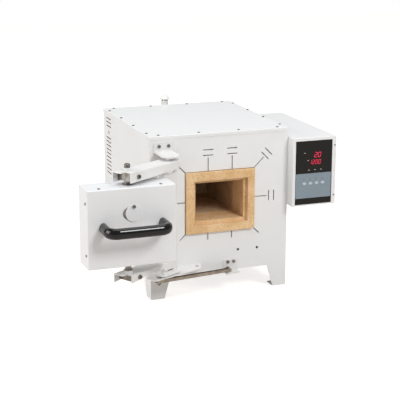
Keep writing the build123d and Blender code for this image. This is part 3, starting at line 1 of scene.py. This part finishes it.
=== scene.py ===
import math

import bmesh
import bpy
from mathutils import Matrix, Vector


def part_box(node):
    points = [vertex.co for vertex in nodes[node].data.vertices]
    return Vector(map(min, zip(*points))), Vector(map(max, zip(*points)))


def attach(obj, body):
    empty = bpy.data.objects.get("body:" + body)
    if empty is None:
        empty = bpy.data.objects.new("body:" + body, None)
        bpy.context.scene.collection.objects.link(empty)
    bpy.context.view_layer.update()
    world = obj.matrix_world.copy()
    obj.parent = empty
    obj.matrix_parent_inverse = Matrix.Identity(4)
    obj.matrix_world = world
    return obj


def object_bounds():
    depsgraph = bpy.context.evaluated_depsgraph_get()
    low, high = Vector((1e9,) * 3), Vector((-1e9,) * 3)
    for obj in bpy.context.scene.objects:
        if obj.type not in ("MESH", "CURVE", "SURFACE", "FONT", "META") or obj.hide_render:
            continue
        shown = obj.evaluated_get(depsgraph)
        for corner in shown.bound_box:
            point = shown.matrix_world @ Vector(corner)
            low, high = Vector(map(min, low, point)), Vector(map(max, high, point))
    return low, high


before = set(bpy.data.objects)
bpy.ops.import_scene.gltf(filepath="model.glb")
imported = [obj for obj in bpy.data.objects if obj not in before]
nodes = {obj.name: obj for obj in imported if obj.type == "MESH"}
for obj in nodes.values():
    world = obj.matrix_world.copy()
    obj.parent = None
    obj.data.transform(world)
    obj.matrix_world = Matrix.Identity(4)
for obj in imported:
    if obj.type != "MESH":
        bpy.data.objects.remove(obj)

# %% [markdown]
# ## A bench-top muffle furnace with its door swung open
# The imported model already holds every rigid piece at its real size, so this lesson is mostly
# about surfaces: powder-coated sheet, pressed fibre board, plated steel, a glossy black handle
# and a lit display. A few pieces that are too fine for the solids are modelled here.
# Everything is in metres, the front faces -Y, and the origin is the middle of the casing's
# underside.

cad_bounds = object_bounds()
scene = bpy.context.scene
corner_to_corner = [round(v, 3) for v in (cad_bounds[1] - cad_bounds[0])]
print("nodes:", len(nodes), "corner to corner:", corner_to_corner)

# %% [markdown]
# ### Small helpers for materials
# A material is a graph of nodes. Three short functions keep the graph readable: one makes a
# node with its values set, one wires two sockets, and one starts a material with a Principled
# BSDF whose constant values sit on the shader's own sockets.


# %% Node helpers
def add_node(tree, kind, **values):
    """One node, with inputs or properties set by name."""
    node = tree.nodes.new(kind)
    for name, value in values.items():
        if hasattr(node, name):
            setattr(node, name, value)
        else:
            node.inputs[name.replace("_", " ").title()].default_value = value
    return node


def wire(tree, out_socket, in_socket):
    tree.links.new(out_socket, in_socket)


def start_material(name, roughness=0.5, metallic=0.0, coat=0.0, ior=1.5):
    """A material with a Principled BSDF. Returns the material, its tree and the shader."""
    made = bpy.data.materials.new(name)
    made.use_nodes = True
    tree = made.node_tree
    shader = tree.nodes["Principled BSDF"]
    shader.inputs["Roughness"].default_value = roughness
    shader.inputs["Metallic"].default_value = metallic
    shader.inputs["Coat Weight"].default_value = coat
    shader.inputs["IOR"].default_value = ior
    return made, tree, shader


def new_group(name, inputs, outputs):
    """An empty node group with named sockets. Returns the group and its two end nodes."""
    group = bpy.data.node_groups.new(name, "ShaderNodeTree")
    for socket_name, kind, value in inputs:
        socket = group.interface.new_socket(socket_name, in_out="INPUT", socket_type=kind)
        socket.default_value = value
    for socket_name, kind in outputs:
        group.interface.new_socket(socket_name, in_out="OUTPUT", socket_type=kind)
    return group, group.nodes.new("NodeGroupInput"), group.nodes.new("NodeGroupOutput")


FLOAT = "NodeSocketFloat"
COLOUR = "NodeSocketColor"
print("helpers ready")

# %% [markdown]
# ### Powder coat
# Powder paint is baked on as a dry dust that melts, so it dries with a faint orange peel of
# millimetre-sized bumps and never quite mirrors the room. On a furnace it also picks up a very
# light, cloudy unevenness from wiping and heat. One node group makes both: slow noise shifts the
# colour a little and moves the roughness, fine noise gives the height for a bump.

# %% The powder coat group
coat_group, coat_in, coat_out = new_group(
    "powder_coat",
    [
        ("Colour", COLOUR, (0.8, 0.8, 0.8, 1)),
        ("Shade", COLOUR, (0.7, 0.7, 0.7, 1)),
        ("Peel Scale", FLOAT, 700.0),
        ("Roughness", FLOAT, 0.4),
    ],
    [("Colour", COLOUR), ("Roughness", FLOAT), ("Height", FLOAT)],
)
coat_place = add_node(coat_group, "ShaderNodeTexCoord")
cloud = add_node(coat_group, "ShaderNodeTexNoise", scale=9.0, detail=3.0, roughness=0.55)
wire(coat_group, coat_place.outputs["Object"], cloud.inputs["Vector"])
cloud_soft = add_node(coat_group, "ShaderNodeMapRange")
cloud_soft.inputs["From Min"].default_value = 0.42
cloud_soft.inputs["From Max"].default_value = 0.72
wire(coat_group, cloud.outputs["Fac"], cloud_soft.inputs["Value"])
cloud_mix = add_node(coat_group, "ShaderNodeMix", data_type="RGBA")
wire(coat_group, cloud_soft.outputs["Result"], cloud_mix.inputs["Factor"])
wire(coat_group, coat_in.outputs["Colour"], cloud_mix.inputs["A"])
wire(coat_group, coat_in.outputs["Shade"], cloud_mix.inputs["B"])
peel = add_node(coat_group, "ShaderNodeTexNoise", detail=1.0, roughness=0.4)
wire(coat_group, coat_place.outputs["Object"], peel.inputs["Vector"])
wire(coat_group, coat_in.outputs["Peel Scale"], peel.inputs["Scale"])
rough_shift = add_node(coat_group, "ShaderNodeMath", operation="MULTIPLY_ADD")
rough_shift.inputs[1].default_value = 0.16
wire(coat_group, cloud.outputs["Fac"], rough_shift.inputs[0])
wire(coat_group, coat_in.outputs["Roughness"], rough_shift.inputs[2])
wire(coat_group, cloud_mix.outputs["Result"], coat_out.inputs["Colour"])
wire(coat_group, rough_shift.outputs["Value"], coat_out.inputs["Roughness"])
wire(coat_group, peel.outputs["Fac"], coat_out.inputs["Height"])
print("powder coat group:", len(coat_group.nodes), "nodes")


# %% Painted materials
def painted(name, colour, shade, roughness=0.36, peel_scale=700.0, bump=0.05):
    """Powder-coated sheet: colour and shade differ by a few per cent."""
    made, tree, shader = start_material(name)
    group = add_node(tree, "ShaderNodeGroup", node_tree=coat_group)
    group.inputs["Colour"].default_value = (*colour, 1)
    group.inputs["Shade"].default_value = (*shade, 1)
    group.inputs["Peel Scale"].default_value = peel_scale
    group.inputs["Roughness"].default_value = roughness
    bump_node = add_node(tree, "ShaderNodeBump", strength=bump, distance=0.0004)
    wire(tree, group.outputs["Height"], bump_node.inputs["Height"])
    wire(tree, bump_node.outputs["Normal"], shader.inputs["Normal"])
    wire(tree, group.outputs["Colour"], shader.inputs["Base Color"])
    wire(tree, group.outputs["Roughness"], shader.inputs["Roughness"])
    return made


casing_white = painted("casing_white", (0.80, 0.81, 0.815), (0.775, 0.785, 0.79))
frame_white = painted(
    "frame_white", (0.75, 0.75, 0.745), (0.72, 0.72, 0.71), peel_scale=900.0
)
door_white = painted("door_white", (0.80, 0.81, 0.825), (0.775, 0.785, 0.80))
print("painted:", casing_white.name, frame_white.name, door_white.name)

# %% [markdown]
# ### Fibre board
# The tan collar and the door plug are pressed ceramic fibre. Up close the board is a felt of
# pale and brown flecks about a millimetre long, with larger heat-stained patches. Voronoi cells
# give the flecks, because their edges are sharp the way felted clumps are, and two layers of
# noise give the stain and the soft, dusty bump.

# %% The fibre group
fibre_group, fibre_in, fibre_out = new_group(
    "fibre_board",
    [
        ("Pale", COLOUR, (0.8, 0.6, 0.35, 1)),
        ("Stained", COLOUR, (0.6, 0.4, 0.2, 1)),
        ("Fleck", COLOUR, (0.35, 0.2, 0.08, 1)),
        ("Fleck Amount", FLOAT, 0.5),
    ],
    [("Colour", COLOUR), ("Height", FLOAT)],
)
fibre_place = add_node(fibre_group, "ShaderNodeTexCoord")
stain = add_node(fibre_group, "ShaderNodeTexNoise", scale=22.0, detail=4.0, roughness=0.6)
wire(fibre_group, fibre_place.outputs["Object"], stain.inputs["Vector"])
stain_range = add_node(fibre_group, "ShaderNodeMapRange")
stain_range.inputs["From Min"].default_value = 0.38
stain_range.inputs["From Max"].default_value = 0.66
wire(fibre_group, stain.outputs["Fac"], stain_range.inputs["Value"])
stain_mix = add_node(fibre_group, "ShaderNodeMix", data_type="RGBA")
wire(fibre_group, stain_range.outputs["Result"], stain_mix.inputs["Factor"])
wire(fibre_group, fibre_in.outputs["Pale"], stain_mix.inputs["A"])
wire(fibre_group, fibre_in.outputs["Stained"], stain_mix.inputs["B"])
fleck = add_node(fibre_group, "ShaderNodeTexVoronoi", scale=520.0)
wire(fibre_group, fibre_place.outputs["Object"], fleck.inputs["Vector"])
fleck_pick = add_node(fibre_group, "ShaderNodeSeparateColor")
wire(fibre_group, fleck.outputs["Color"], fleck_pick.inputs["Color"])
fleck_range = add_node(fibre_group, "ShaderNodeMapRange")
fleck_range.inputs["From Min"].default_value = 0.72
fleck_range.inputs["From Max"].default_value = 1.0
wire(fibre_group, fleck_pick.outputs["Red"], fleck_range.inputs["Value"])
fleck_amount = add_node(fibre_group, "ShaderNodeMath", operation="MULTIPLY")
wire(fibre_group, fleck_range.outputs["Result"], fleck_amount.inputs[0])
wire(fibre_group, fibre_in.outputs["Fleck Amount"], fleck_amount.inputs[1])
fleck_mix = add_node(fibre_group, "ShaderNodeMix", data_type="RGBA")
wire(fibre_group, fleck_amount.outputs["Value"], fleck_mix.inputs["Factor"])
wire(fibre_group, stain_mix.outputs["Result"], fleck_mix.inputs["A"])
wire(fibre_group, fibre_in.outputs["Fleck"], fleck_mix.inputs["B"])
felt = add_node(fibre_group, "ShaderNodeTexNoise", scale=340.0, detail=5.0, roughness=0.7)
wire(fibre_group, fibre_place.outputs["Object"], felt.inputs["Vector"])
wire(fibre_group, fleck_mix.outputs["Result"], fibre_out.inputs["Colour"])
wire(fibre_group, felt.outputs["Fac"], fibre_out.inputs["Height"])
print("fibre group:", len(fibre_group.nodes), "nodes")


# %% Fibre, muffle and rod materials
def fibrous(name, pale, stained, fleck_colour, flecks=0.5, bump=0.5, distance=0.001):
    """Matt pressed fibre or fired clay, from the fibre group."""
    made, tree, shader = start_material(name, roughness=0.92)
    group = add_node(tree, "ShaderNodeGroup", node_tree=fibre_group)
    group.inputs["Pale"].default_value = (*pale, 1)
    group.inputs["Stained"].default_value = (*stained, 1)
    group.inputs["Fleck"].default_value = (*fleck_colour, 1)
    group.inputs["Fleck Amount"].default_value = flecks
    bump_node = add_node(tree, "ShaderNodeBump", strength=bump, distance=distance)
    wire(tree, group.outputs["Height"], bump_node.inputs["Height"])
    wire(tree, bump_node.outputs["Normal"], shader.inputs["Normal"])
    wire(tree, group.outputs["Colour"], shader.inputs["Base Color"])
    return made


fibre_tan = fibrous(
    "fibre_tan", (0.80, 0.56, 0.32), (0.70, 0.45, 0.22), (0.36, 0.2, 0.08), 0.55
)
fibre_plain = fibrous(
    "fibre_plain", (0.82, 0.80, 0.74), (0.76, 0.72, 0.64), (0.5, 0.46, 0.4), 0.3
)
# The muffle and rear insulation are a darker brown than the collar fibre; part of that darkness is
# painted shade for the deep chamber.
muffle_brown_painted_shade = fibrous(
    "muffle_brown_painted_shade", (0.62, 0.45, 0.29), (0.48, 0.32, 0.19), (0.2, 0.12, 0.06), 0.5
)
rod_grey = fibrous(
    "rod_grey", (0.13, 0.12, 0.11), (0.1, 0.09, 0.08), (0.3, 0.28, 0.25), 0.3, 0.2
)
probe_white = fibrous(
    "probe_white", (0.8, 0.77, 0.7), (0.74, 0.7, 0.62), (0.6, 0.55, 0.48), 0.2, 0.15
)
print("fibrous:", fibre_tan.name, fibre_plain.name, muffle_brown_painted_shade.name)

# %% [markdown]
# ### Metals
# Screws, pins and the stay bar are plated or plain steel. What the eye reads as metal is a mix of a
# dark and a bright tone in streaks, so the group stretches noise along one direction for the
# brushing and adds a second, blotchy layer that changes the roughness, as oil and heat do.

# %% The metal group
metal_group, metal_in, metal_out = new_group(
    "worn_metal",
    [
        ("Bright", COLOUR, (0.7, 0.7, 0.7, 1)),
        ("Dull", COLOUR, (0.4, 0.4, 0.4, 1)),
        ("Grain", FLOAT, 1500.0),
        ("Roughness", FLOAT, 0.3),
    ],
    [("Colour", COLOUR), ("Roughness", FLOAT), ("Height", FLOAT)],
)
metal_place = add_node(metal_group, "ShaderNodeTexCoord")
stretch = add_node(metal_group, "ShaderNodeMapping")
stretch.inputs["Scale"].default_value = (1.0, 1.0, 0.06)
wire(metal_group, metal_place.outputs["Object"], stretch.inputs["Vector"])
grain = add_node(metal_group, "ShaderNodeTexNoise", detail=2.0, roughness=0.5)
wire(metal_group, stretch.outputs["Vector"], grain.inputs["Vector"])
wire(metal_group, metal_in.outputs["Grain"], grain.inputs["Scale"])
blotch = add_node(metal_group, "ShaderNodeTexNoise", scale=60.0, detail=3.0, roughness=0.6)
wire(metal_group, metal_place.outputs["Object"], blotch.inputs["Vector"])
blotch_range = add_node(metal_group, "ShaderNodeMapRange")
blotch_range.inputs["From Min"].default_value = 0.35
blotch_range.inputs["From Max"].default_value = 0.7
wire(metal_group, blotch.outputs["Fac"], blotch_range.inputs["Value"])
metal_mix = add_node(metal_group, "ShaderNodeMix", data_type="RGBA")
wire(metal_group, blotch_range.outputs["Result"], metal_mix.inputs["Factor"])
wire(metal_group, metal_in.outputs["Bright"], metal_mix.inputs["A"])
wire(metal_group, metal_in.outputs["Dull"], metal_mix.inputs["B"])
metal_rough = add_node(metal_group, "ShaderNodeMath", operation="MULTIPLY_ADD")
metal_rough.inputs[1].default_value = 0.22
wire(metal_group, blotch.outputs["Fac"], metal_rough.inputs[0])
wire(metal_group, metal_in.outputs["Roughness"], metal_rough.inputs[2])
wire(metal_group, metal_mix.outputs["Result"], metal_out.inputs["Colour"])
wire(metal_group, metal_rough.outputs["Value"], metal_out.inputs["Roughness"])
wire(metal_group, grain.outputs["Fac"], metal_out.inputs["Height"])
print("metal group:", len(metal_group.nodes), "nodes")


# %% Metal materials
def metal(name, bright, dull, roughness=0.2, grain_scale=1500.0, bump=0.08):
    """Bare or plated metal from the metal group."""
    made, tree, shader = start_material(name, metallic=1.0)
    group = add_node(tree, "ShaderNodeGroup", node_tree=metal_group)
    group.inputs["Bright"].default_value = (*bright, 1)
    group.inputs["Dull"].default_value = (*dull, 1)
    group.inputs["Grain"].default_value = grain_scale
    group.inputs["Roughness"].default_value = roughness
    bump_node = add_node(tree, "ShaderNodeBump", strength=bump, distance=0.0002)
    wire(tree, group.outputs["Height"], bump_node.inputs["Height"])
    wire(tree, bump_node.outputs["Normal"], shader.inputs["Normal"])
    wire(tree, group.outputs["Colour"], shader.inputs["Base Color"])
    wire(tree, group.outputs["Roughness"], shader.inputs["Roughness"])
    return made


screw_steel = metal("screw_steel", (0.30, 0.29, 0.28), (0.13, 0.13, 0.125), 0.2)
pin_steel = metal("pin_steel", (0.36, 0.335, 0.31), (0.15, 0.135, 0.12), 0.18)
plain_steel = metal("plain_steel", (0.58, 0.57, 0.55), (0.45, 0.44, 0.42), 0.3)
# The stay bar is steel; its warm brown tint is painted reflection and shade along its channel.
stay_steel_painted_reflection = metal("stay_steel_painted_reflection", (0.52, 0.46, 0.40), (0.34, 0.29, 0.24), 0.26)
relay_aluminium = metal("relay_aluminium", (0.75, 0.75, 0.76), (0.6, 0.6, 0.61), 0.3)
print("metals: 5")

# %% [markdown]
# ### Plastics and glass
# The handle is moulded, glossy and almost black: a clear coat over a dark base keeps its long
# highlight crisp. The window is smoked acrylic and the keypad a satin printed foil. Each has a
# faint noise in its roughness so that a highlight breaks up a little, as on handled plastic.

# %% The handling group: faint smears that only change the roughness
smear_group, smear_in, smear_out = new_group(
    "handling_smears",
    [("Roughness", FLOAT, 0.2), ("Smear", FLOAT, 0.1), ("Scale", FLOAT, 40.0)],
    [("Roughness", FLOAT), ("Height", FLOAT)],
)
smear_place = add_node(smear_group, "ShaderNodeTexCoord")
smear = add_node(smear_group, "ShaderNodeTexNoise", detail=4.0, roughness=0.6)
wire(smear_group, smear_place.outputs["Object"], smear.inputs["Vector"])
wire(smear_group, smear_in.outputs["Scale"], smear.inputs["Scale"])
smear_amount = add_node(smear_group, "ShaderNodeMath", operation="MULTIPLY_ADD")
wire(smear_group, smear.outputs["Fac"], smear_amount.inputs[0])
wire(smear_group, smear_in.outputs["Smear"], smear_amount.inputs[1])
wire(smear_group, smear_in.outputs["Roughness"], smear_amount.inputs[2])
wire(smear_group, smear_amount.outputs["Value"], smear_out.inputs["Roughness"])
wire(smear_group, smear.outputs["Fac"], smear_out.inputs["Height"])
print("smear group ready")


# %% Plastic materials
def plastic(
    name, colour, roughness=0.2, smear_by=0.1, coat=0.0, bump=0.02, shade=0.9, ior=1.5
):
    """Moulded plastic or foil. shade is how dark the darker patches of the colour are."""
    made, tree, shader = start_material(name, coat=coat, ior=ior)
    group = add_node(tree, "ShaderNodeGroup", node_tree=smear_group)
    group.inputs["Roughness"].default_value = roughness
    group.inputs["Smear"].default_value = smear_by
    wire(tree, group.outputs["Roughness"], shader.inputs["Roughness"])
    tint = add_node(tree, "ShaderNodeMix", data_type="RGBA")
    tint.inputs["A"].default_value = (*colour, 1)
    tint.inputs["B"].default_value = (*[c * shade for c in colour], 1)
    wire(tree, group.outputs["Height"], tint.inputs["Factor"])
    wire(tree, tint.outputs["Result"], shader.inputs["Base Color"])
    bump_node = add_node(tree, "ShaderNodeBump", strength=bump, distance=0.0005)
    wire(tree, group.outputs["Height"], bump_node.inputs["Height"])
    wire(tree, bump_node.outputs["Normal"], shader.inputs["Normal"])
    return made


handle_black = plastic(
    "handle_black", (0.004, 0.004, 0.0042), 0.10, 0.05, coat=0.25, ior=1.42
)
window_black = plastic("window_black", (0.005, 0.0045, 0.0042), 0.08, 0.05, ior=1.4)
keypad_grey = plastic("keypad_grey", (0.235, 0.295, 0.345), 0.38, 0.1)
button_grey = plastic("button_grey", (0.50, 0.58, 0.64), 0.3, 0.1)
symbol_dark = plastic("symbol_dark", (0.09, 0.12, 0.15), 0.4, 0.05)
gland_black = plastic("gland_black", (0.015, 0.015, 0.016), 0.4, 0.1)
rocker_black = plastic("rocker_black", (0.012, 0.012, 0.012), 0.2, 0.1)
board_green = plastic("board_green", (0.03, 0.16, 0.06), 0.35, 0.1, shade=0.7)
terminal_cream = plastic("terminal_cream", (0.7, 0.68, 0.6), 0.4, 0.1)
print("plastics: 9")

# %% Quartz, display light and white print
sight_quartz, quartz_tree, quartz_shader = start_material("sight_quartz", roughness=0.03, ior=1.46)
quartz_shader.inputs["Transmission Weight"].default_value = 0.85
quartz_noise = add_node(quartz_tree, "ShaderNodeTexNoise", scale=120.0, detail=2.0)
quartz_place = add_node(quartz_tree, "ShaderNodeTexCoord")
quartz_ramp = add_node(quartz_tree, "ShaderNodeMapRange")
quartz_ramp.inputs["To Min"].default_value = 0.02
quartz_ramp.inputs["To Max"].default_value = 0.08
wire(quartz_tree, quartz_place.outputs["Object"], quartz_noise.inputs["Vector"])
wire(quartz_tree, quartz_noise.outputs["Fac"], quartz_ramp.inputs["Value"])
wire(quartz_tree, quartz_ramp.outputs["Result"], quartz_shader.inputs["Roughness"])


def glowing(name, colour, strength):
    """A lit segment: the emission dims and brightens a little along the segment."""
    made, tree, shader = start_material(name, roughness=0.4)
    shader.inputs["Base Color"].default_value = (*[c * 0.3 for c in colour], 1)
    shader.inputs["Emission Strength"].default_value = strength
    place = add_node(tree, "ShaderNodeTexCoord")
    flicker = add_node(tree, "ShaderNodeTexNoise", scale=600.0, detail=1.0)
    mix = add_node(tree, "ShaderNodeMix", data_type="RGBA")
    mix.inputs["A"].default_value = (*colour, 1)
    mix.inputs["B"].default_value = (*[c * 0.6 for c in colour], 1)
    wire(tree, place.outputs["Object"], flicker.inputs["Vector"])
    wire(tree, flicker.outputs["Fac"], mix.inputs["Factor"])
    wire(tree, mix.outputs["Result"], shader.inputs["Emission Color"])
    return made


digit_red = glowing("digit_red", (1.0, 0.03, 0.10), 1.1)
print_white = plastic("print_white", (0.55, 0.55, 0.53), 0.5, 0.05)
print("display materials:", digit_red.name, print_white.name)

# %% [markdown]
# ### Dressing the solids
# Each solid keeps its mesh and its place. Only the material in its slot changes, so one table of
# finishes by piece is enough, and the loop stops if a piece was forgotten.

# %% Finish of every solid
finishes = {
    casing_white: """base_plate controller_bezel controller_housing corner_legs front_panel
        left_side_panel rear_panel right_side_panel top_cover""",
    frame_white: """flue_cap flue_pipe foot_plate lower_arm lower_hinge_plate stay_bracket upper_arm
        upper_hinge_bracket upper_hinge_pin upright""",
    door_white: "door_shell sight_cover door_back",
    plain_steel: "cradle_rails sight_tube",
    fibre_tan: "fibre_collar door_plug",
    fibre_plain: "chamber_insulation door_filling",
    muffle_brown_painted_shade: "muffle rear_insulation",
    rod_grey: "heating_rods",
    probe_white: "thermocouple",
    pin_steel: """door_bushes pin_blocks lower_hinge_pin stay_bolts upper_door_pin
        lower_door_pin""",
    stay_steel_painted_reflection: "stay_bar",
    screw_steel: """bezel_screws bracket_screws clamp_screws cover_screws door_screws
        sight_cover_screw""",
    handle_black: "handle",
    window_black: "display_window",
    keypad_grey: "keypad",
    button_grey: "button_down button_set button_shift button_up",
    board_green: "controller_board",
    relay_aluminium: "power_relay",
    terminal_cream: "terminal_block",
    gland_black: "cable_gland rocker_frame door_sensors",
    rocker_black: "rocker",
    sight_quartz: "sight_glass",
}
dressed = set()
for finish, names in finishes.items():
    for name in names.split():
        for slot in nodes[name].material_slots:
            slot.material = finish
        dressed.add(name)
bare = set(nodes) - dressed
if bare:
    raise ValueError(f"no finish for {sorted(bare)}")
print("dressed solids:", len(dressed))

# %% [markdown]
# ### Display digits
# The controller shows two rows of red seven-segment figures. Each segment is a thin six-sided
# bar lying just proud of the window, and a figure is a choice of segments. The whole figure leans
# a little to the right, as such displays do, which is a shear and needs no turned object.

# %% Segment shapes
SEGMENTS = {
    "0": "abcdef", "1": "bc", "2": "abged", "3": "abgcd", "4": "fgbc",
    "5": "afgcd", "6": "afgedc", "7": "abc", "8": "abcdefg", "9": "abcdfg",
}
window_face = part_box("display_window")[0][1]
print_proud = 0.0003  # how far digits and marks stand out, m
print_sunk = 0.0001  # how far they reach into the surface, m
digit_lean = 0.16  # sideways shift per unit of height


def new_mesh_object(name, shape, material, body):
    """Turns a bmesh into an object at the origin that rides on a body."""
    mesh = bpy.data.meshes.new(name)
    shape.to_mesh(mesh)
    shape.free()
    made = bpy.data.objects.new(name, mesh)
    scene.collection.objects.link(made)
    made.data.materials.append(material)
    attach(made, body)
    return made


def add_bar(shape, start, end, thick, y_front, y_back):
    """One six-sided bar from start to end, points in the XZ plane."""
    start, end = Vector(start), Vector(end)
    along = (end - start).normalized()
    across = Vector((-along.y, along.x)) * thick / 2
    tip = along * thick / 2
    corners = [
        start, start + tip + across, end - tip + across,
        end, end - tip - across, start + tip - across,
    ]
    front = [shape.verts.new((c.x, y_front, c.y)) for c in corners]
    face = shape.faces.new(front)
    made = bmesh.ops.extrude_face_region(shape, geom=[face])
    moved = [v for v in made["geom"] if isinstance(v, bmesh.types.BMVert)]
    bmesh.ops.translate(shape, verts=moved, vec=(0, y_back - y_front, 0))


def add_figure(shape, figure, left, base, wide, high, thick):
    """One seven-segment figure with its lower left corner at left, base."""
    inset = thick * 0.6
    xs = (left + inset, left + wide - inset)
    zs = (base + inset, base + high / 2, base + high - inset)
    ends = {
        "a": ((xs[0], zs[2]), (xs[1], zs[2])), "b": ((xs[1], zs[2]), (xs[1], zs[1])),
        "c": ((xs[1], zs[1]), (xs[1], zs[0])), "d": ((xs[0], zs[0]), (xs[1], zs[0])),
        "e": ((xs[0], zs[1]), (xs[0], zs[0])), "f": ((xs[0], zs[2]), (xs[0], zs[1])),
        "g": ((xs[0], zs[1]), (xs[1], zs[1])),
    }
    for letter in SEGMENTS[figure]:
        start, end = (
            (x + digit_lean * (z - base), z) for x, z in ends[letter]
        )
        add_bar(shape, start, end, thick, window_face - print_proud, window_face + print_sunk)


# %% Two rows of figures
row_right = 0.2690
# figures, height of the base line, height, width, thickness and pitch of the figures
rows = (
    ("20", 0.2915, 0.0138, 0.0084, 0.0013, 0.0102),
    ("1200", 0.2735, 0.0120, 0.0064, 0.0010, 0.0086),
)
digits = bmesh.new()
for text, base, high, wide, thick, pitch in rows:
    for place, figure in enumerate(reversed(text)):
        left = row_right - wide - place * pitch
        add_figure(digits, figure, left, base, wide, high, thick)
bmesh.ops.recalc_face_normals(digits, faces=digits.faces)
display_digits = new_mesh_object(
    "display_digits", digits, digit_red, "furnace"
)
print("digit faces:", len(display_digits.data.polygons))

# %% [markdown]
# ### Small marks
# Beside the figures and above the keypad the photo shows tiny pale dashes and, above each button,
# a small darker stroke. They are plain marks with no meaning of their own, so short bars will do.

# %% Pale dashes on the window
marks = bmesh.new()
dash_long = 0.0052
dash_thick = 0.0016
dash_places = (
    (0.2238, 0.3045), (0.2336, 0.2845), (0.2369, 0.2585), (0.2538, 0.2590), (0.2711, 0.2585),
)
for x, z in dash_places:
    add_bar(
        marks, (x - dash_long / 2, z), (x + dash_long / 2, z), dash_thick,
        window_face - print_proud, window_face + print_sunk,
    )
bmesh.ops.recalc_face_normals(marks, faces=marks.faces)
window_marks = new_mesh_object("window_marks", marks, print_white, "furnace")

# %% Dark strokes above the buttons
keypad_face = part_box("keypad")[0][1]
strokes = bmesh.new()
stroke_above = 0.0062  # from the top of a button to the middle of its stroke, m
stroke_half_high = 0.002
stroke_thick = 0.0014
for name in ("button_set", "button_shift", "button_down", "button_up"):
    low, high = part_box(name)
    middle = (low[0] + high[0]) / 2
    above = high[2] + stroke_above
    start = (middle - 0.0034, above + stroke_half_high)
    end = (middle + 0.0012, above - stroke_half_high)
    add_bar(strokes, start, end, stroke_thick, keypad_face - 0.0002, keypad_face + print_sunk)
bmesh.ops.recalc_face_normals(strokes, faces=strokes.faces)
button_strokes = new_mesh_object(
    "button_strokes", strokes, symbol_dark, "furnace"
)
print("marks:", window_marks.name, button_strokes.name)

# %% [markdown]
# ### Floor, light and camera
# The photo is a cut-out on white, lit softly from the upper right. A sandy floor catches only a
# faint shadow and sends a little warm light up under the furnace. To the camera the floor and the
# world look white, and to the lights they are dimmer, so the white is not extra light on the
# object. Mirror-like rays see a darker room, as with black cards around a product, which keeps the
# handle and the window black.

# %% Floor and world
floor_z = cad_bounds[0][2]
floor_shape = bmesh.new()
floor_half = 6.0
floor_drop = 0.0002  # keeps the floor just clear of the feet, m
bmesh.ops.create_grid(floor_shape, x_segments=1, y_segments=1, size=floor_half)
bmesh.ops.translate(floor_shape, verts=floor_shape.verts, vec=(0, 0, floor_z - floor_drop))
floor_mesh = bpy.data.meshes.new("floor")
floor_shape.to_mesh(floor_mesh)
floor_shape.free()
floor = bpy.data.objects.new("floor", floor_mesh)
scene.collection.objects.link(floor)
floor_paint, floor_tree, floor_shader = start_material("floor_paint", roughness=0.9)
floor_place = add_node(floor_tree, "ShaderNodeTexCoord")
floor_noise = add_node(floor_tree, "ShaderNodeTexNoise", scale=3.0)
floor_mix = add_node(floor_tree, "ShaderNodeMix", data_type="RGBA")
floor_mix.inputs["A"].default_value = (0.62, 0.57, 0.52, 1)
floor_mix.inputs["B"].default_value = (0.60, 0.55, 0.50, 1)
wire(floor_tree, floor_place.outputs["Object"], floor_noise.inputs["Vector"])
wire(floor_tree, floor_noise.outputs["Fac"], floor_mix.inputs["Factor"])
wire(floor_tree, floor_mix.outputs["Result"], floor_shader.inputs["Base Color"])
floor_path = add_node(floor_tree, "ShaderNodeLightPath")
floor_lift = add_node(floor_tree, "ShaderNodeMath", operation="MULTIPLY")
floor_lift.inputs[1].default_value = 0.72  # seen by the camera only
wire(floor_tree, floor_path.outputs["Is Camera Ray"], floor_lift.inputs[0])
wire(floor_tree, floor_lift.outputs["Value"], floor_shader.inputs["Emission Strength"])
floor_shader.inputs["Emission Color"].default_value = (1, 1, 1, 1)
floor.data.materials.append(floor_paint)

world = bpy.data.worlds.new("studio")
scene.world = world
world.use_nodes = True
world_tree = world.node_tree
background = world_tree.nodes["Background"]
background.inputs["Color"].default_value = (1, 1, 1, 1)
light_path = add_node(world_tree, "ShaderNodeLightPath")
shown = add_node(world_tree, "ShaderNodeMath", operation="MAXIMUM")
wire(world_tree, light_path.outputs["Is Camera Ray"], shown.inputs[0])
wire(world_tree, light_path.outputs["Is Transmission Ray"], shown.inputs[1])
strength = add_node(world_tree, "ShaderNodeMapRange")
strength.inputs["To Min"].default_value = 0.5  # to diffuse rays
strength.inputs["To Max"].default_value = 1.0  # to the camera, also through glass
wire(world_tree, shown.outputs["Value"], strength.inputs["Value"])
flagged = add_node(world_tree, "ShaderNodeMath", operation="MULTIPLY_ADD")
flagged.inputs[1].default_value = -0.25  # less of it to glossy rays
wire(world_tree, light_path.outputs["Is Glossy Ray"], flagged.inputs[0])
wire(world_tree, strength.outputs["Result"], flagged.inputs[2])
wire(world_tree, flagged.outputs["Value"], background.inputs["Strength"])
print("floor at", round(floor_z, 4))


# %% Lamps
def soft_lamp(name, place, target, size, power):
    """A square area lamp that faces the target."""
    data = bpy.data.lights.new(name, "AREA")
    data.size = size
    data.energy = power
    lamp = bpy.data.objects.new(name, data)
    scene.collection.objects.link(lamp)
    lamp.location = place
    lamp.rotation_euler = (Vector(target) - Vector(place)).to_track_quat("-Z", "Y").to_euler()
    return lamp


soft_lamp("key_lamp", (0.9, -2.7, 2.3), (0, -0.1, 0.15), 0.9, 50)
soft_lamp("fill_lamp", (-2.9, 0.0, 1.1), (-0.1, 0, 0.15), 1.8, 44)
soft_lamp("top_lamp", (0.1, -0.1, 2.8), (0, 0, 0.2), 2.2, 30)
print("lamps: 3")

# %% Camera, from a fit of the model's corners to the photo's corners
camera_data = bpy.data.cameras.new("camera")
camera_data.lens = 107.6  # mm
camera_data.sensor_width = 36.0
camera = bpy.data.objects.new("camera", camera_data)
scene.collection.objects.link(camera)
camera_yaw = 0.35277
camera_pitch = 0.25757
camera_roll = -0.0021
camera.location = (-1.0821, -2.9951, 0.978)
camera.rotation_euler = (math.pi / 2 - camera_pitch, camera_roll, -camera_yaw)
scene.camera = camera
scene.view_settings.view_transform = "Standard"
print("camera at", [round(v, 3) for v in camera.location])
